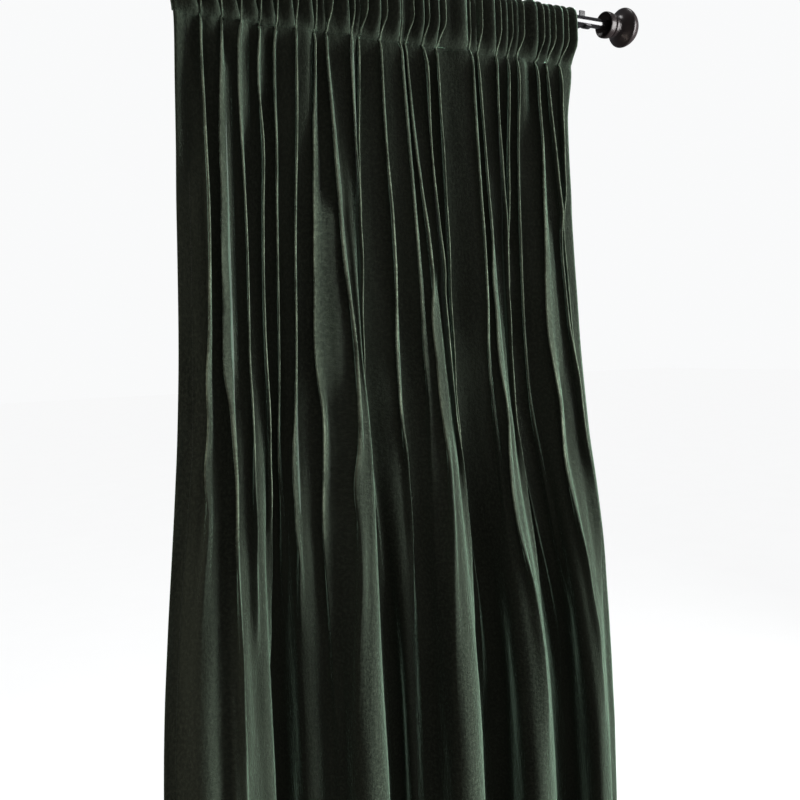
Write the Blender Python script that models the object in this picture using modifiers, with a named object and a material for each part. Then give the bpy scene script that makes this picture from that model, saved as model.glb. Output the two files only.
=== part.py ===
"""Velvet curtain with a rod pocket and stitched tucks, hanging on its rod between two wall brackets.

Run with: blender --background --python part.py

Frame: metres, +Z up, +X along the rod, +Y into the wall. The wall is the plane y = 0, and the origin
is the centre of the left bracket's wall plate. The room side of the curtain faces -Y.
"""
import math

import bmesh
import bpy
import numpy as np

# ---------------------------------------------------------------- rod, finials and brackets
ROD_RADIUS = 0.0095
ROD_Y = -0.090                  # the rod's axis stands this far off the wall, at z = 0
BRACKET_SPAN = 0.818            # from plate centre to plate centre
TOUCH_GAP = 0.0003              # left between pieces that touch

FINIAL_REACH = 0.042            # from a bracket's middle out to the finial's mouth
ROD_IN_COLLAR = 0.0145          # how deep the rod goes into the collar
COLLAR_TOP = 0.0240
BORE_RADIUS = 0.0102            # of the collar's hole for the rod
# Profiles from top to bottom: radius, height above the finial's mouth for the collar and above the
# collar's top for the knob
COLLAR_OUTSIDE = (
    (0.0, COLLAR_TOP), (0.0196, COLLAR_TOP), (0.0212, 0.0231), (0.0217, 0.0214), (0.0217, 0.0176),
    (0.0212, 0.0160), (0.0204, 0.0152), (0.0214, 0.0141), (0.0230, 0.0128), (0.0238, 0.0100),
    (0.0241, 0.0060), (0.0241, 0.0022), (0.0237, 0.0006), (0.0228, 0.0), (0.0216, 0.0004),
    (0.0200, 0.0030), (0.0150, 0.0090), (BORE_RADIUS, 0.0124),
)
KNOB_OUTSIDE = (
    (0.0, 0.0495), (0.0100, 0.0488), (0.0190, 0.0462), (0.0262, 0.0418), (0.0312, 0.0362),
    (0.0342, 0.0305), (0.0356, 0.0262), (0.0362, 0.0240), (0.0363, 0.0223), (0.0358, 0.0208),
    (0.0345, 0.0194), (0.0310, 0.0168), (0.0262, 0.0132), (0.0222, 0.0098), (0.0196, 0.0062),
    (0.0186, 0.0035), (0.0186, 0.0010), (0.0178, 0.0), (0.0, 0.0),
)

PLATE_RADIUS = 0.024
PLATE_THICK = 0.005
SCREW_OFFSET = 0.0155           # screws above and below the plate's centre
SCREW_HEAD_RADIUS = 0.0040
SCREW_HEAD_DEPTH = 0.0022
SCREW_FOOT_RADIUS = 0.0018
SCREW_SINK_CLEARANCE = 0.0003
SCREW_PROUD = 0.00005           # the screw heads stand this much out of the plate's face
SINK_STEP = 0.0002              # straight start of the countersink
PLATE_EDGE = 0.0010             # chamfer round the plate
CUT_BEYOND = 0.0010             # cutters reach this much past the face
ARM_RADIUS = 0.0055
CRADLE_WIDTH = 0.012
CRADLE_WALL = 0.0030
CRADLE_FRONT_ANGLE = -45.0      # degrees round the rod from -Y, where the front lip ends
CRADLE_TAIL_TOP = 0.0235        # height of the straight tail behind the rod

ROUND_STEPS = 32
SCREW_STEPS = 16

# ---------------------------------------------------------------- the cloth
SHEET = 0.0012                  # thickness of the velvet with its backing
LAYER_PITCH = 0.0019            # between the middles of two layers stitched together
TUCK_TIP = 0.0019               # width of a tuck's folded edge

CLOTH_LEFT = 0.0225             # x of the cloth's left edge along the seam
SEAM_WIDTH = 0.746
SEAM_Y = -0.104
SEAM_Z = -0.090                 # the stitched line under the rod pocket
DROP = 2.130                    # from the pocket's top to the hem
POCKET_RADIUS = 0.0131          # middle of the cloth where it turns over the rod
POCKET_TOP = POCKET_RADIUS + SHEET / 2
POCKET_SHOULDER = -0.010        # height where the pocket's front and back meet the rod
POCKET_MIDDLE = 0.040           # a row of the pocket this far above the seam
MIDDLE_SHIFT = 0.8              # how far that row has left the seam's own places
FRONT_PUFF = 0.0085             # how far the gathers stand off at the front,
BACK_PUFF = 0.0070              # at the back,
SHOULDER_PUFF = 0.0050          # round the rod
TOP_PUFF = 0.0040               # and over its top
POCKET_OPEN = 0.34              # how far a tuck's cloth opens into a gather above the seam
POCKET_SPREAD = 0.006           # the pocket runs this much further out at each end
POCKET_LEAN = 0.005             # the gathers lean to the right towards the rod
BACK_LAYER_GAP = 0.0022         # pocket's back layer behind the front one at the seam
HEM_BELOW_SEAM = DROP - (POCKET_TOP - SEAM_Z)
MID_LEVEL = 0.55                # below the seam, where FOLDS gives its places
LOW_LEVEL = 1.15
OPENING_POWER = 0.7             # a tuck opens fast at first, then slowly

# One row for each stitched tuck. Places are measured from the cloth's left edge:
#   place along the seam, across where its stitching ends, stitched length, depth, length over which
#   it then opens, how open it stays low down
TUCKS = (
    (0.043, 0.024, 0.64, 0.014, 0.30, 1.00),
    (0.076, 0.061, 0.72, 0.014, 0.55, 0.92),
    (0.106, 0.096, 0.64, 0.014, 0.35, 1.00),
    (0.137, 0.126, 0.71, 0.014, 0.35, 1.00),
    (0.164, 0.146, 0.64, 0.013, 0.30, 1.00),
    (0.196, 0.168, 0.75, 0.012, 0.20, 1.00),
    (0.230, 0.214, 0.74, 0.013, 0.45, 0.95),
    (0.250, 0.277, 0.66, 0.014, 0.50, 1.00),
    (0.293, 0.294, 0.59, 0.013, 0.40, 1.00),
    (0.309, 0.303, 0.59, 0.013, 0.40, 1.00),
    (0.346, 0.364, 0.59, 0.012, 0.40, 0.97),
    (0.384, 0.404, 0.46, 0.006, 0.30, 1.00),
    (0.395, 0.437, 0.62, 0.012, 0.50, 0.96),
    (0.427, 0.466, 0.62, 0.014, 0.40, 1.00),
    (0.456, 0.488, 0.70, 0.014, 0.50, 0.98),
    (0.520, 0.535, 0.50, 0.007, 0.40, 1.00),
    (0.538, 0.574, 0.76, 0.014, 0.50, 0.95),
    (0.577, 0.598, 0.62, 0.013, 0.40, 1.00),
    (0.601, 0.612, 0.67, 0.014, 0.50, 1.00),
    (0.621, 0.638, 0.59, 0.012, 0.40, 1.00),
    (0.666, 0.690, 0.70, 0.014, 0.50, 0.96),
    (0.689, 0.745, 0.63, 0.014, 0.40, 1.00),
    (0.717, 0.762, 0.69, 0.013, 0.40, 1.00),
)

# One row for each turning place of the large folds, from left to right. Places are measured from the
# cloth's left edge, at the seam, at MID_LEVEL and at LOW_LEVEL, then y at those two levels.
FOLDS = (
    (0.000, -0.014, -0.058, -0.100, -0.082),    # left edge
    (0.046, 0.028, 0.000, -0.112, -0.124),      # soft swell
    (0.060, 0.046, 0.027, -0.108, -0.113),
    (0.072, 0.058, 0.044, -0.112, -0.128),      # first fold
    (0.108, 0.098, 0.096, -0.108, -0.112),      # ledge on its flank
    (0.150, 0.134, 0.144, -0.094, -0.042),
    (0.200, 0.180, 0.186, -0.104, -0.098),
    (0.222, 0.206, 0.214, -0.102, -0.090),      # ledge before the second fold
    (0.256, 0.275, 0.268, -0.122, -0.146),      # second fold
    (0.309, 0.303, 0.370, -0.088, -0.045),
    (0.340, 0.354, 0.384, -0.100, -0.086),
    (0.352, 0.372, 0.403, -0.098, -0.082),      # ledge before the third fold
    (0.397, 0.437, 0.453, -0.118, -0.148),      # third fold
    (0.457, 0.490, 0.572, -0.094, -0.045),
    (0.537, 0.575, 0.611, -0.116, -0.142),      # fourth fold
    (0.601, 0.612, 0.732, -0.092, -0.055),
    (0.665, 0.690, 0.757, -0.114, -0.135),      # fifth fold
    (0.746, 0.771, 0.848, -0.090, -0.070),      # right edge
)
EDGE_TURN = 0.004               # just below the seam the right edge turns back by this
EDGE_TURN_LEVEL = 0.10
SEAM_FULLNESS = 0.45            # share of a tuck's depth left where the seam holds it down
FULL_LEVEL = 0.08               # below this the tucks stand out in full

# Rows of the cloth below the seam, closer together where the tucks end
ROWS_BELOW_SEAM = (0.0, 0.05, 0.20, 0.40, 0.57, 0.64, 0.72, 0.80, 0.92, 1.10, 1.36, 1.72)
WIDE_FLAT = 0.028               # a flat between tucks wider than this gets a column of its own

FABRIC_GREEN = (0.008, 0.016, 0.009, 1.0)
METAL_BLACK = (0.010, 0.010, 0.011, 1.0)
FINIAL_BRONZE = (0.020, 0.016, 0.015, 1.0)


# ================================================================ helpers
def clear_scene():
    for item in list(bpy.data.objects):
        bpy.data.objects.remove(item, do_unlink=True)


def make_collection(name):
    collection = bpy.data.collections.new(name)
    bpy.context.scene.collection.children.link(collection)
    return collection


def make_material(name, colour, roughness, metallic):
    material = bpy.data.materials.new(name)
    material.use_nodes = True
    shader = material.node_tree.nodes["Principled BSDF"]
    shader.inputs["Base Color"].default_value = colour
    shader.inputs["Roughness"].default_value = roughness
    shader.inputs["Metallic"].default_value = metallic
    return material


def link_object(name, mesh, material, collection):
    piece = bpy.data.objects.new(name, mesh)
    mesh.materials.clear()
    mesh.materials.append(material)
    collection.objects.link(piece)
    return piece


def mesh_from_bmesh(name, shape, smooth_angle=None):
    mesh = bpy.data.meshes.new(name)
    shape.to_mesh(mesh)
    shape.free()
    if smooth_angle is not None:
        mesh.shade_smooth()
        mesh.set_sharp_from_angle(angle=math.radians(smooth_angle))
    return mesh


def turned(name, profile, material, collection, steps=ROUND_STEPS):
    """A turned piece: a profile of (radius, height) from top to bottom, screwed round its own Z."""
    shape = bmesh.new()
    ring = [shape.verts.new((radius, 0.0, height)) for radius, height in profile]
    for upper, lower in zip(ring, ring[1:]):
        shape.edges.new((upper, lower))
    piece = link_object(name, mesh_from_bmesh(name, shape), material, collection)
    screw = piece.modifiers.new("turn", "SCREW")
    screw.steps = steps
    screw.render_steps = steps
    screw.use_merge_vertices = True
    screw.merge_threshold = 0.00001
    screw.use_smooth_shade = True
    return piece


def ease(value):
    """Smooth step from 0 to 1."""
    value = np.clip(value, 0.0, 1.0)
    return value * value * (3.0 - 2.0 * value)


# ================================================================ the cloth's shape
class Tucks:
    """The tuck table as arrays, with each tuck's place in the flat cloth."""

    def __init__(self):
        table = np.array(TUCKS)
        self.at_seam, self.at_end, self.length, self.depth, self.release, self.opens_to = table.T
        self.half = self.depth + TUCK_TIP / 2
        taken = 2 * self.half - LAYER_PITCH
        self.flat_centre = self.at_seam + np.cumsum(taken) - taken / 2
        self.flat_width = SEAM_WIDTH + taken.sum()

    def flat_place(self, at_seam):
        """Place in the flat cloth of a place along the seam."""
        return np.interp(at_seam, *self.seam_to_flat())

    def seam_to_flat(self):
        seam = [0.0]
        flat = [0.0]
        for centre, flat_centre, half in zip(self.at_seam, self.flat_centre, self.half):
            seam += [centre - LAYER_PITCH / 2, centre + LAYER_PITCH / 2]
            flat += [flat_centre - half, flat_centre + half]
        return seam + [SEAM_WIDTH], flat + [self.flat_width]


def columns_across(tucks):
    """Flat-cloth place, tuck number (-1 on a flat) and place within the tuck (-1 to 1) of each column."""
    columns = [(0.0, -1, 0.0)]
    last_end = 0.0
    for number, (centre, half) in enumerate(zip(tucks.flat_centre, tucks.half)):
        if centre - half - last_end > WIDE_FLAT:
            columns.append(((last_end + centre - half) / 2, -1, 0.0))
        tip = TUCK_TIP / 2 / half
        columns += [(centre + side * half, number, side) for side in (-1.0, -tip, tip, 1.0)]
        last_end = centre + half
    if tucks.flat_width - last_end > WIDE_FLAT:
        columns.append(((last_end + tucks.flat_width) / 2, -1, 0.0))
    columns.append((tucks.flat_width, -1, 0.0))
    return columns


def wave_angle(rise_over_run):
    """Largest slope angle of a half wave whose heading swings as a sine, from its rise over its run."""
    swing = np.sin(np.linspace(0.0, math.pi, 41))
    low, high = 0.0, 1.9
    for _ in range(30):
        angle = (low + high) / 2
        if np.sin(angle * swing).mean() < rise_over_run * np.cos(angle * swing).mean():
            low = angle
        else:
            high = angle
    return angle


def half_wave(start, end, share):
    """Points and headings at the given shares along a rounded half wave from start to end."""
    run = end[0] - start[0]
    rise = end[1] - start[1]
    angle = math.copysign(wave_angle(abs(rise) / run), rise)
    fine = np.linspace(0.0, 1.0, 81)
    heading = angle * np.sin(math.pi * fine)
    along = np.concatenate([[0.0], np.cumsum((np.cos(heading[1:]) + np.cos(heading[:-1])) / 2)])
    out = np.concatenate([[0.0], np.cumsum((np.sin(heading[1:]) + np.sin(heading[:-1])) / 2)])
    x = start[0] + run * np.interp(share, fine, along / along[-1])
    y = start[1] + (rise * np.interp(share, fine, out / out[-1]) if rise else 0.0 * share)
    return x, y, angle * np.sin(math.pi * share)


def smooth_between(levels, values, level):
    """Smooth curve through one value at each level; values may be rows of numbers."""
    values = np.asarray(values, float)
    steps = np.diff(levels)
    slopes = np.diff(values, axis=0) / steps.reshape(-1, *[1] * (values.ndim - 1))
    tangents = np.concatenate([slopes[:1], (slopes[1:] + slopes[:-1]) / 2, 0.5 * slopes[-1:]])
    number = min(max(int(np.searchsorted(levels, level)) - 1, 0), len(steps) - 1)
    step = steps[number]
    part = (level - levels[number]) / step
    return ((1 + 2 * part) * (1 - part) ** 2 * values[number]
            + part * (1 - part) ** 2 * step * tangents[number]
            + part ** 2 * (3 - 2 * part) * values[number + 1]
            + part ** 2 * (part - 1) * step * tangents[number + 1])


def fold_places(below_seam):
    """Where the large folds turn at this level: places across and y."""
    at_seam, across_mid, across_low, y_mid, y_low = np.array(FOLDS).T
    levels = (0.0, MID_LEVEL, LOW_LEVEL, HEM_BELOW_SEAM)
    across = smooth_between(levels, (at_seam, across_mid, across_low, across_low), below_seam)
    y = smooth_between(levels, (np.full(len(FOLDS), SEAM_Y), y_mid, y_low, y_low), below_seam)
    turn = EDGE_TURN * ease(below_seam / EDGE_TURN_LEVEL)
    turn *= 1.0 - ease((below_seam - EDGE_TURN_LEVEL) / (MID_LEVEL - EDGE_TURN_LEVEL))
    across[-1] -= turn
    y[-1] += turn
    return across, y


def opening(tucks, below_seam):
    """How far each tuck has opened at this level, 0 stitched shut to 1 flat."""
    return tucks.opens_to * ease((below_seam - tucks.length) / tucks.release) ** OPENING_POWER


def released(tucks, columns, opened):
    """Length of base cloth from the left edge to each column, with each tuck opened by its share."""
    half_base = (1 - opened) * LAYER_PITCH / 2 + opened * tucks.half
    flat_starts = np.concatenate([[0.0], tucks.flat_centre + tucks.half])
    flat_ends = np.concatenate([tucks.flat_centre - tucks.half, [tucks.flat_width]])
    before = np.concatenate([[0.0], np.cumsum(2 * half_base)])
    centre_at = np.cumsum((flat_ends - flat_starts)[:-1]) + before[:-1] + half_base
    places = []
    for flat, number, within in columns:
        if number < 0:
            gap = int(np.searchsorted(tucks.flat_centre, flat))
            places.append(np.sum((flat_ends - flat_starts)[:gap]) + before[gap] + flat - flat_starts[gap])
            continue
        shut = np.clip(within * tucks.half[number] / (TUCK_TIP / 2), -1.0, 1.0) * LAYER_PITCH / 2
        part = opened[number]
        places.append(centre_at[number] + (1 - part) * shut + part * within * tucks.half[number])
    return np.array(places)


def standing(tucks, columns, opened):
    """How far each column stands out from the base cloth, as part of its tuck's fin or ridge."""
    heights = []
    for _, number, within in columns:
        if number < 0:
            heights.append(0.0)
            continue
        half = tucks.half[number]
        slope = min(1.0, (1 - abs(within)) * half / tucks.depth[number])
        heights.append(tucks.depth[number] * math.sqrt(max(0.0, 1 - opened[number] ** 2)) * slope)
    return np.array(heights)


def straight_row(tucks, columns, below_seam):
    """One row of the cloth below the seam, before the tucks are drawn to their own places."""
    opened = opening(tucks, below_seam)
    base = released(tucks, columns, opened)
    turns = tucks.flat_place([row[0] for row in FOLDS])
    turn_base = np.interp(turns, [column[0] for column in columns], base)
    across, y_turn = fold_places(below_seam)
    fullness = SEAM_FULLNESS + (1 - SEAM_FULLNESS) * ease(below_seam / FULL_LEVEL)
    height = standing(tucks, columns, opened) * fullness
    points = np.zeros((len(columns), 3))
    for number in range(len(FOLDS) - 1):
        first, last = turn_base[number], turn_base[number + 1]
        inside = (base >= first) & (base <= last + 1e-9)
        share = (base[inside] - first) / (last - first)
        start = (across[number], y_turn[number])
        end = (across[number + 1], y_turn[number + 1])
        x, y, heading = half_wave(start, end, share)
        points[inside, 0] = CLOTH_LEFT + x + np.sin(heading) * height[inside]
        points[inside, 1] = y - np.cos(heading) * height[inside]
    points[:, 2] = SEAM_Z - below_seam
    return points


def sideways_draw(tucks, columns):
    """How far each tuck is drawn across at its end, beyond where the folds alone would put it."""
    numbers = np.array([column[1] for column in columns])
    draw = []
    for number, (length, at_end) in enumerate(zip(tucks.length, tucks.at_end)):
        across = straight_row(tucks, columns, length)[numbers == number, 0].mean()
        draw.append(CLOTH_LEFT + at_end - across)
    return np.array(draw)


def hanging_row(tucks, columns, draw, below_seam):
    """One row of the cloth below the seam, as points."""
    points = straight_row(tucks, columns, below_seam)
    rising = np.minimum(below_seam / tucks.length, 1.0)
    falling = 1.0 - ease((below_seam - tucks.length) / (LOW_LEVEL - tucks.length))
    moved = np.concatenate([[0.0], draw * rising * falling, [0.0]])
    places = np.concatenate([[0.0], tucks.flat_centre, [tucks.flat_width]])
    points[:, 0] += np.interp([column[0] for column in columns], places, moved)
    return points


def pocket_rows(tucks, columns, seam):
    """The rod pocket's rows: up the front from the seam, over the rod and down the back to the seam."""
    opened = np.full(len(TUCKS), POCKET_OPEN)
    base = released(tucks, columns, opened)
    height = standing(tucks, columns, opened)
    height = height / height.max()
    front, back = ROD_Y - POCKET_RADIUS, ROD_Y + POCKET_RADIUS
    side = POCKET_RADIUS * math.sqrt(0.5)
    # y, z, the way the gathers stand off (y, z), puff, and how far the row has left the seam's own places
    middle = SEAM_Z + POCKET_MIDDLE
    back_middle = (back + SEAM_Y) / 2 + BACK_LAYER_GAP
    rows = (
        (SEAM_Y, middle, -1.0, 0.0, FRONT_PUFF, MIDDLE_SHIFT),
        (front, POCKET_SHOULDER, -1.0, 0.0, FRONT_PUFF, 1.0),
        (ROD_Y - side, side, -0.7, 0.7, SHOULDER_PUFF, 1.0),
        (ROD_Y, POCKET_RADIUS, 0.0, 1.0, TOP_PUFF, 1.0),
        (ROD_Y + side, side, 0.7, 0.7, SHOULDER_PUFF, 1.0),
        (back, POCKET_SHOULDER, 1.0, 0.0, BACK_PUFF, 1.0),
        (back_middle, middle, 1.0, 0.0, BACK_PUFF, MIDDLE_SHIFT),
        (SEAM_Y + BACK_LAYER_GAP, SEAM_Z, 1.0, 0.0, 0.0, 0.0),
    )
    wide = base / base[-1] * (SEAM_WIDTH + 2 * POCKET_SPREAD) - POCKET_SPREAD + POCKET_LEAN
    result = []
    for y, z, out_y, out_z, puff, left_seam in rows:
        points = np.zeros((len(columns), 3))
        points[:, 0] = (1 - left_seam) * seam[:, 0] + left_seam * (CLOTH_LEFT + wide)
        points[:, 1] = y + out_y * puff * height
        points[:, 2] = z + out_z * puff * height
        result.append(points)
    return result


def build_curtain(material, collection):
    tucks = Tucks()
    columns = columns_across(tucks)
    draw = sideways_draw(tucks, columns)
    hanging = [hanging_row(tucks, columns, draw, level) for level in (*ROWS_BELOW_SEAM, HEM_BELOW_SEAM)]
    rows = pocket_rows(tucks, columns, hanging[0])[::-1] + hanging
    shape = bmesh.new()
    grid = [[shape.verts.new(point) for point in row] for row in rows]
    for upper, lower in zip(grid, grid[1:]):
        for left in range(len(columns) - 1):
            shape.faces.new((upper[left], lower[left], lower[left + 1], upper[left + 1]))
    mesh = mesh_from_bmesh("curtain", shape, smooth_angle=60)
    curtain = link_object("curtain", mesh, material, collection)
    thickness = curtain.modifiers.new("thickness", "SOLIDIFY")
    thickness.thickness = SHEET
    thickness.offset = 0.0
    return curtain


# ================================================================ hard pieces
def build_rod(material, collection):
    left_end = -FINIAL_REACH - ROD_IN_COLLAR
    length = BRACKET_SPAN - 2 * left_end
    shape = bmesh.new()
    bmesh.ops.create_cone(shape, cap_ends=True, segments=ROUND_STEPS, radius1=ROD_RADIUS,
                          radius2=ROD_RADIUS, depth=length)
    rod = link_object("rod", mesh_from_bmesh("rod", shape, smooth_angle=40), material, collection)
    rod.rotation_euler = (0.0, math.pi / 2, 0.0)
    rod.location = (BRACKET_SPAN / 2, ROD_Y, 0.0)


def build_finial(side, bronze, collection):
    """Collar and knob. In their own frame the finial points up +Z and its mouth is at z = 0."""
    seat = ROD_IN_COLLAR + TOUCH_GAP
    collar_profile = (*COLLAR_OUTSIDE, (BORE_RADIUS, seat), (0.0, seat))
    knob_profile = [(radius, height + COLLAR_TOP + TOUCH_GAP) for radius, height in KNOB_OUTSIDE]
    outward = 1.0 if side == "right" else -1.0
    bracket_x = BRACKET_SPAN if side == "right" else 0.0
    for label, profile in (("collar", collar_profile), ("knob", knob_profile)):
        piece = turned(f"finial_{label}_{side}", profile, bronze, collection)
        piece.rotation_euler = (0.0, outward * math.pi / 2, 0.0)
        piece.location = (bracket_x + outward * FINIAL_REACH, ROD_Y, 0.0)


def build_plate(side, x, material, collection, cutters):
    """Round wall plate with two countersunk screws."""
    profile = ((0.0, PLATE_THICK), (PLATE_RADIUS - PLATE_EDGE, PLATE_THICK),
               (PLATE_RADIUS, PLATE_THICK - PLATE_EDGE), (PLATE_RADIUS, 0.0), (0.0, 0.0))
    plate = turned(f"wall_plate_{side}", profile, material, collection)
    plate.rotation_euler = (math.pi / 2, 0.0, 0.0)
    plate.location = (x, 0.0, 0.0)
    for label, offset in (("upper", SCREW_OFFSET), ("lower", -SCREW_OFFSET)):
        head = ((0.0, 0.0), (SCREW_HEAD_RADIUS, 0.0), (SCREW_FOOT_RADIUS, -SCREW_HEAD_DEPTH),
                (0.0, -SCREW_HEAD_DEPTH))
        screw = turned(f"screw_{label}_{side}", head, material, collection, SCREW_STEPS)
        screw.rotation_euler = (math.pi / 2, 0.0, 0.0)
        screw.location = (x, -PLATE_THICK - SCREW_PROUD, offset)
        grow = SCREW_SINK_CLEARANCE
        sink = ((0.0, CUT_BEYOND), (SCREW_HEAD_RADIUS + grow, CUT_BEYOND),
                (SCREW_HEAD_RADIUS + grow, -SINK_STEP),
                (SCREW_FOOT_RADIUS + grow, -SCREW_HEAD_DEPTH - grow), (0.0, -SCREW_HEAD_DEPTH - grow))
        cutter = turned(f"sink_{label}_{side}", sink, material, cutters, SCREW_STEPS)
        cutter.rotation_euler = (math.pi / 2, 0.0, 0.0)
        cutter.location = (x, -PLATE_THICK, offset)
        cutter.hide_render = True
        cutter.display_type = "WIRE"
        cut = plate.modifiers.new(f"sink_{label}", "BOOLEAN")
        cut.operation = "DIFFERENCE"
        cut.object = cutter


def cradle_outline():
    """Outline of the cradle in the (y, z) plane: a hook under the rod with a straight tail behind it."""
    inner = ROD_RADIUS + TOUCH_GAP
    outer = inner + CRADLE_WALL
    start = math.radians(180.0 - CRADLE_FRONT_ANGLE)
    angles = np.linspace(start, 2 * math.pi, 15)
    outside = [(outer * math.cos(a), outer * math.sin(a)) for a in angles]
    inside = [(inner * math.cos(a), inner * math.sin(a)) for a in angles[::-1]]
    tail = [(outer, CRADLE_TAIL_TOP), (inner, CRADLE_TAIL_TOP)]
    return [(ROD_Y + y, z) for y, z in outside + tail + inside]


def build_arm(side, x, material, collection):
    """Cradle and arm, joined into one piece."""
    name = f"bracket_arm_{side}"
    outline = cradle_outline()
    shape = bmesh.new()
    near = [shape.verts.new((-CRADLE_WIDTH / 2, y, z)) for y, z in outline]
    face = shape.faces.new(near)
    pushed = bmesh.ops.extrude_face_region(shape, geom=[face])
    moved = [item for item in pushed["geom"] if isinstance(item, bmesh.types.BMVert)]
    bmesh.ops.translate(shape, verts=moved, vec=(CRADLE_WIDTH, 0.0, 0.0))
    bmesh.ops.recalc_face_normals(shape, faces=shape.faces)
    cradle = link_object(name, mesh_from_bmesh(name, shape), material, collection)
    cradle.location = (x, 0.0, 0.0)
    arm_start = ROD_Y + ROD_RADIUS + TOUCH_GAP + CRADLE_WALL / 2
    arm_end = -PLATE_THICK - TOUCH_GAP
    bar = bmesh.new()
    bmesh.ops.create_cone(bar, cap_ends=True, segments=24, radius1=ARM_RADIUS, radius2=ARM_RADIUS,
                          depth=arm_end - arm_start)
    return cradle, bar, (x, (arm_start + arm_end) / 2, 0.0)


def build_bracket(side, material, collection, cutters):
    x = BRACKET_SPAN if side == "right" else 0.0
    build_plate(side, x, material, collection, cutters)
    cradle, bar, middle = build_arm(side, x, material, collection)
    guide = link_object(f"arm_bar_{side}", mesh_from_bmesh("arm_bar", bar), material, cutters)
    guide.rotation_euler = (math.pi / 2, 0.0, 0.0)
    guide.location = middle
    guide.hide_render = True
    guide.display_type = "WIRE"
    join = cradle.modifiers.new("arm", "BOOLEAN")
    join.operation = "UNION"
    join.object = guide


def main():
    clear_scene()
    collection = make_collection("velvet_curtain_on_rod")
    cutters = make_collection("cutters")
    velvet = make_material("green_velvet", FABRIC_GREEN, 0.9, 0.0)
    black = make_material("black_metal", METAL_BLACK, 0.25, 0.9)
    bronze = make_material("dark_bronze", FINIAL_BRONZE, 0.28, 0.9)
    build_curtain(velvet, collection)
    build_rod(black, collection)
    for side in ("left", "right"):
        build_finial(side, bronze, collection)
        build_bracket(side, black, collection, cutters)


main()
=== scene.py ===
"""Green velvet curtain with a rod pocket and stitched tucks, on its rod: the finish, built round the frame.

Laid out as an add-on: the settings hold the sizes and colours, one operator makes each group of pieces,
and a panel in the 3D view's sidebar lists them. Run as a script, it makes everything in order.

Frame: metres, +Z up, +X along the rod, +Y into the wall. The room side of the curtain faces -Y.
"""
import math

import bmesh
import bpy
import numpy as np
from bpy.props import FloatProperty, FloatVectorProperty, IntProperty, PointerProperty
from bpy.types import Operator, Panel, PropertyGroup
from mathutils import Euler, Matrix, Vector


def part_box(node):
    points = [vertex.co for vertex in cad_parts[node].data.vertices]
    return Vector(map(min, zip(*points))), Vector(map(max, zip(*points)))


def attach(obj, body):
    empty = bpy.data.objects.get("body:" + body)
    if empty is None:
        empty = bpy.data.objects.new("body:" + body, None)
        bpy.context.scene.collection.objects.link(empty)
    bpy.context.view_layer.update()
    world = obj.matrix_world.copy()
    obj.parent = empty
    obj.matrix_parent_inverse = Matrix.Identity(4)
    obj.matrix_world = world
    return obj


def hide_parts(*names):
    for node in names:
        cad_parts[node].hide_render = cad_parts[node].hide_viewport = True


bl_info = {
    "name": "Velvet Curtain",
    "version": (1, 0, 0),
    "blender": (4, 5, 0),
    "location": "3D View > Sidebar > Curtain",
    "description": "A velvet curtain with stitched tucks, its rod, finials and brackets",
    "category": "Object",
}

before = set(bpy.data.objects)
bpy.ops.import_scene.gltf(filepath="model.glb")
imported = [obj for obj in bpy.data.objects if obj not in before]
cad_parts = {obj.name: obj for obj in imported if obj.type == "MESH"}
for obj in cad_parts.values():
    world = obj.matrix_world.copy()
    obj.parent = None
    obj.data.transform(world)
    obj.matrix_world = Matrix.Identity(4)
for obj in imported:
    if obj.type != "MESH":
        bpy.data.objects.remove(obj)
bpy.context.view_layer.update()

# ---------------------------------------------------------------- places that the frame gives
ROD_LOW, ROD_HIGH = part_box("rod")
ROD_Y = (ROD_LOW[1] + ROD_HIGH[1]) / 2
ROD_Z = (ROD_LOW[2] + ROD_HIGH[2]) / 2
ROD_RADIUS = (ROD_HIGH[2] - ROD_LOW[2]) / 2
HEM_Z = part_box("curtain")[0][2]

# ---------------------------------------------------------------- the cloth
LAYER_PITCH = 0.0019            # between the middles of two layers stitched together
TUCK_TIP = 0.0019               # width of a tuck's folded edge
CLOTH_LEFT = 0.0225             # x of the cloth's left edge along the seam
SEAM_WIDTH = 0.746
SEAM_Y = -0.104
SEAM_Z = ROD_Z - 0.090          # the stitched line under the rod pocket
HEM_BELOW_SEAM = SEAM_Z - HEM_Z
POCKET_RADIUS = ROD_RADIUS + 0.0036
POCKET_SPREAD = 0.006           # the pocket runs this much further out at each end
POCKET_LEAN = 0.005             # the gathers lean to the right towards the rod
POCKET_BACK_GAP = 0.0024        # the pocket's back meets the seam this far behind its front
POCKET_ROW_STEP = 0.0105        # length of flat cloth between two of the pocket's rows
POCKET_FRONT_ROWS = (0.05, 0.13, 0.24, 0.37, 0.50, 0.63, 0.76, 0.88)    # shares of seam to rod
POCKET_BACK_ROWS = (0.85, 0.66, 0.46, 0.26, 0.10, 0.02)
POCKET_ROD_STEPS = 8            # steps in which the pocket turns over the rod
BILLOW_MOST = 0.0150            # the cloth between two gathers swells out by this at most
BILLOW_SHARE = 0.46             # or by this share of its width
SEAM_FULLNESS = 0.10            # share of a tuck's depth left where the seam holds it down
FULL_LEVEL = 0.045              # below this the tucks stand out in full
MID_LEVEL = 0.55                # below the seam, where FOLDS gives its places
LOW_LEVEL = 1.15
EDGE_TURN = 0.007               # just below the seam the right edge turns back by this
EDGE_TURN_LEVEL = 0.10
EDGE_SWELL = 0.009              # further down it stands out by this, most at EDGE_SWELL_LEVEL
EDGE_SWELL_LEVEL = 0.85
EDGE_SWELL_REACH = 0.16
SIDE_HEM = 0.019                # the side hems' width
FOOT_HEM = 0.080                # the lower hem's height
HEM_RISE = 0.0007               # a hem stands out by this
HEM_GROOVE = 0.0009             # and its stitching lies in a groove this deep
SEAM_GROOVE = 0.0028            # depth of the groove at the seam
SEAM_GROOVE_REACH = 0.008
OPENING_POWER = 0.7             # less than 1, so a tuck opens fastest just below its stitching

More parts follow.
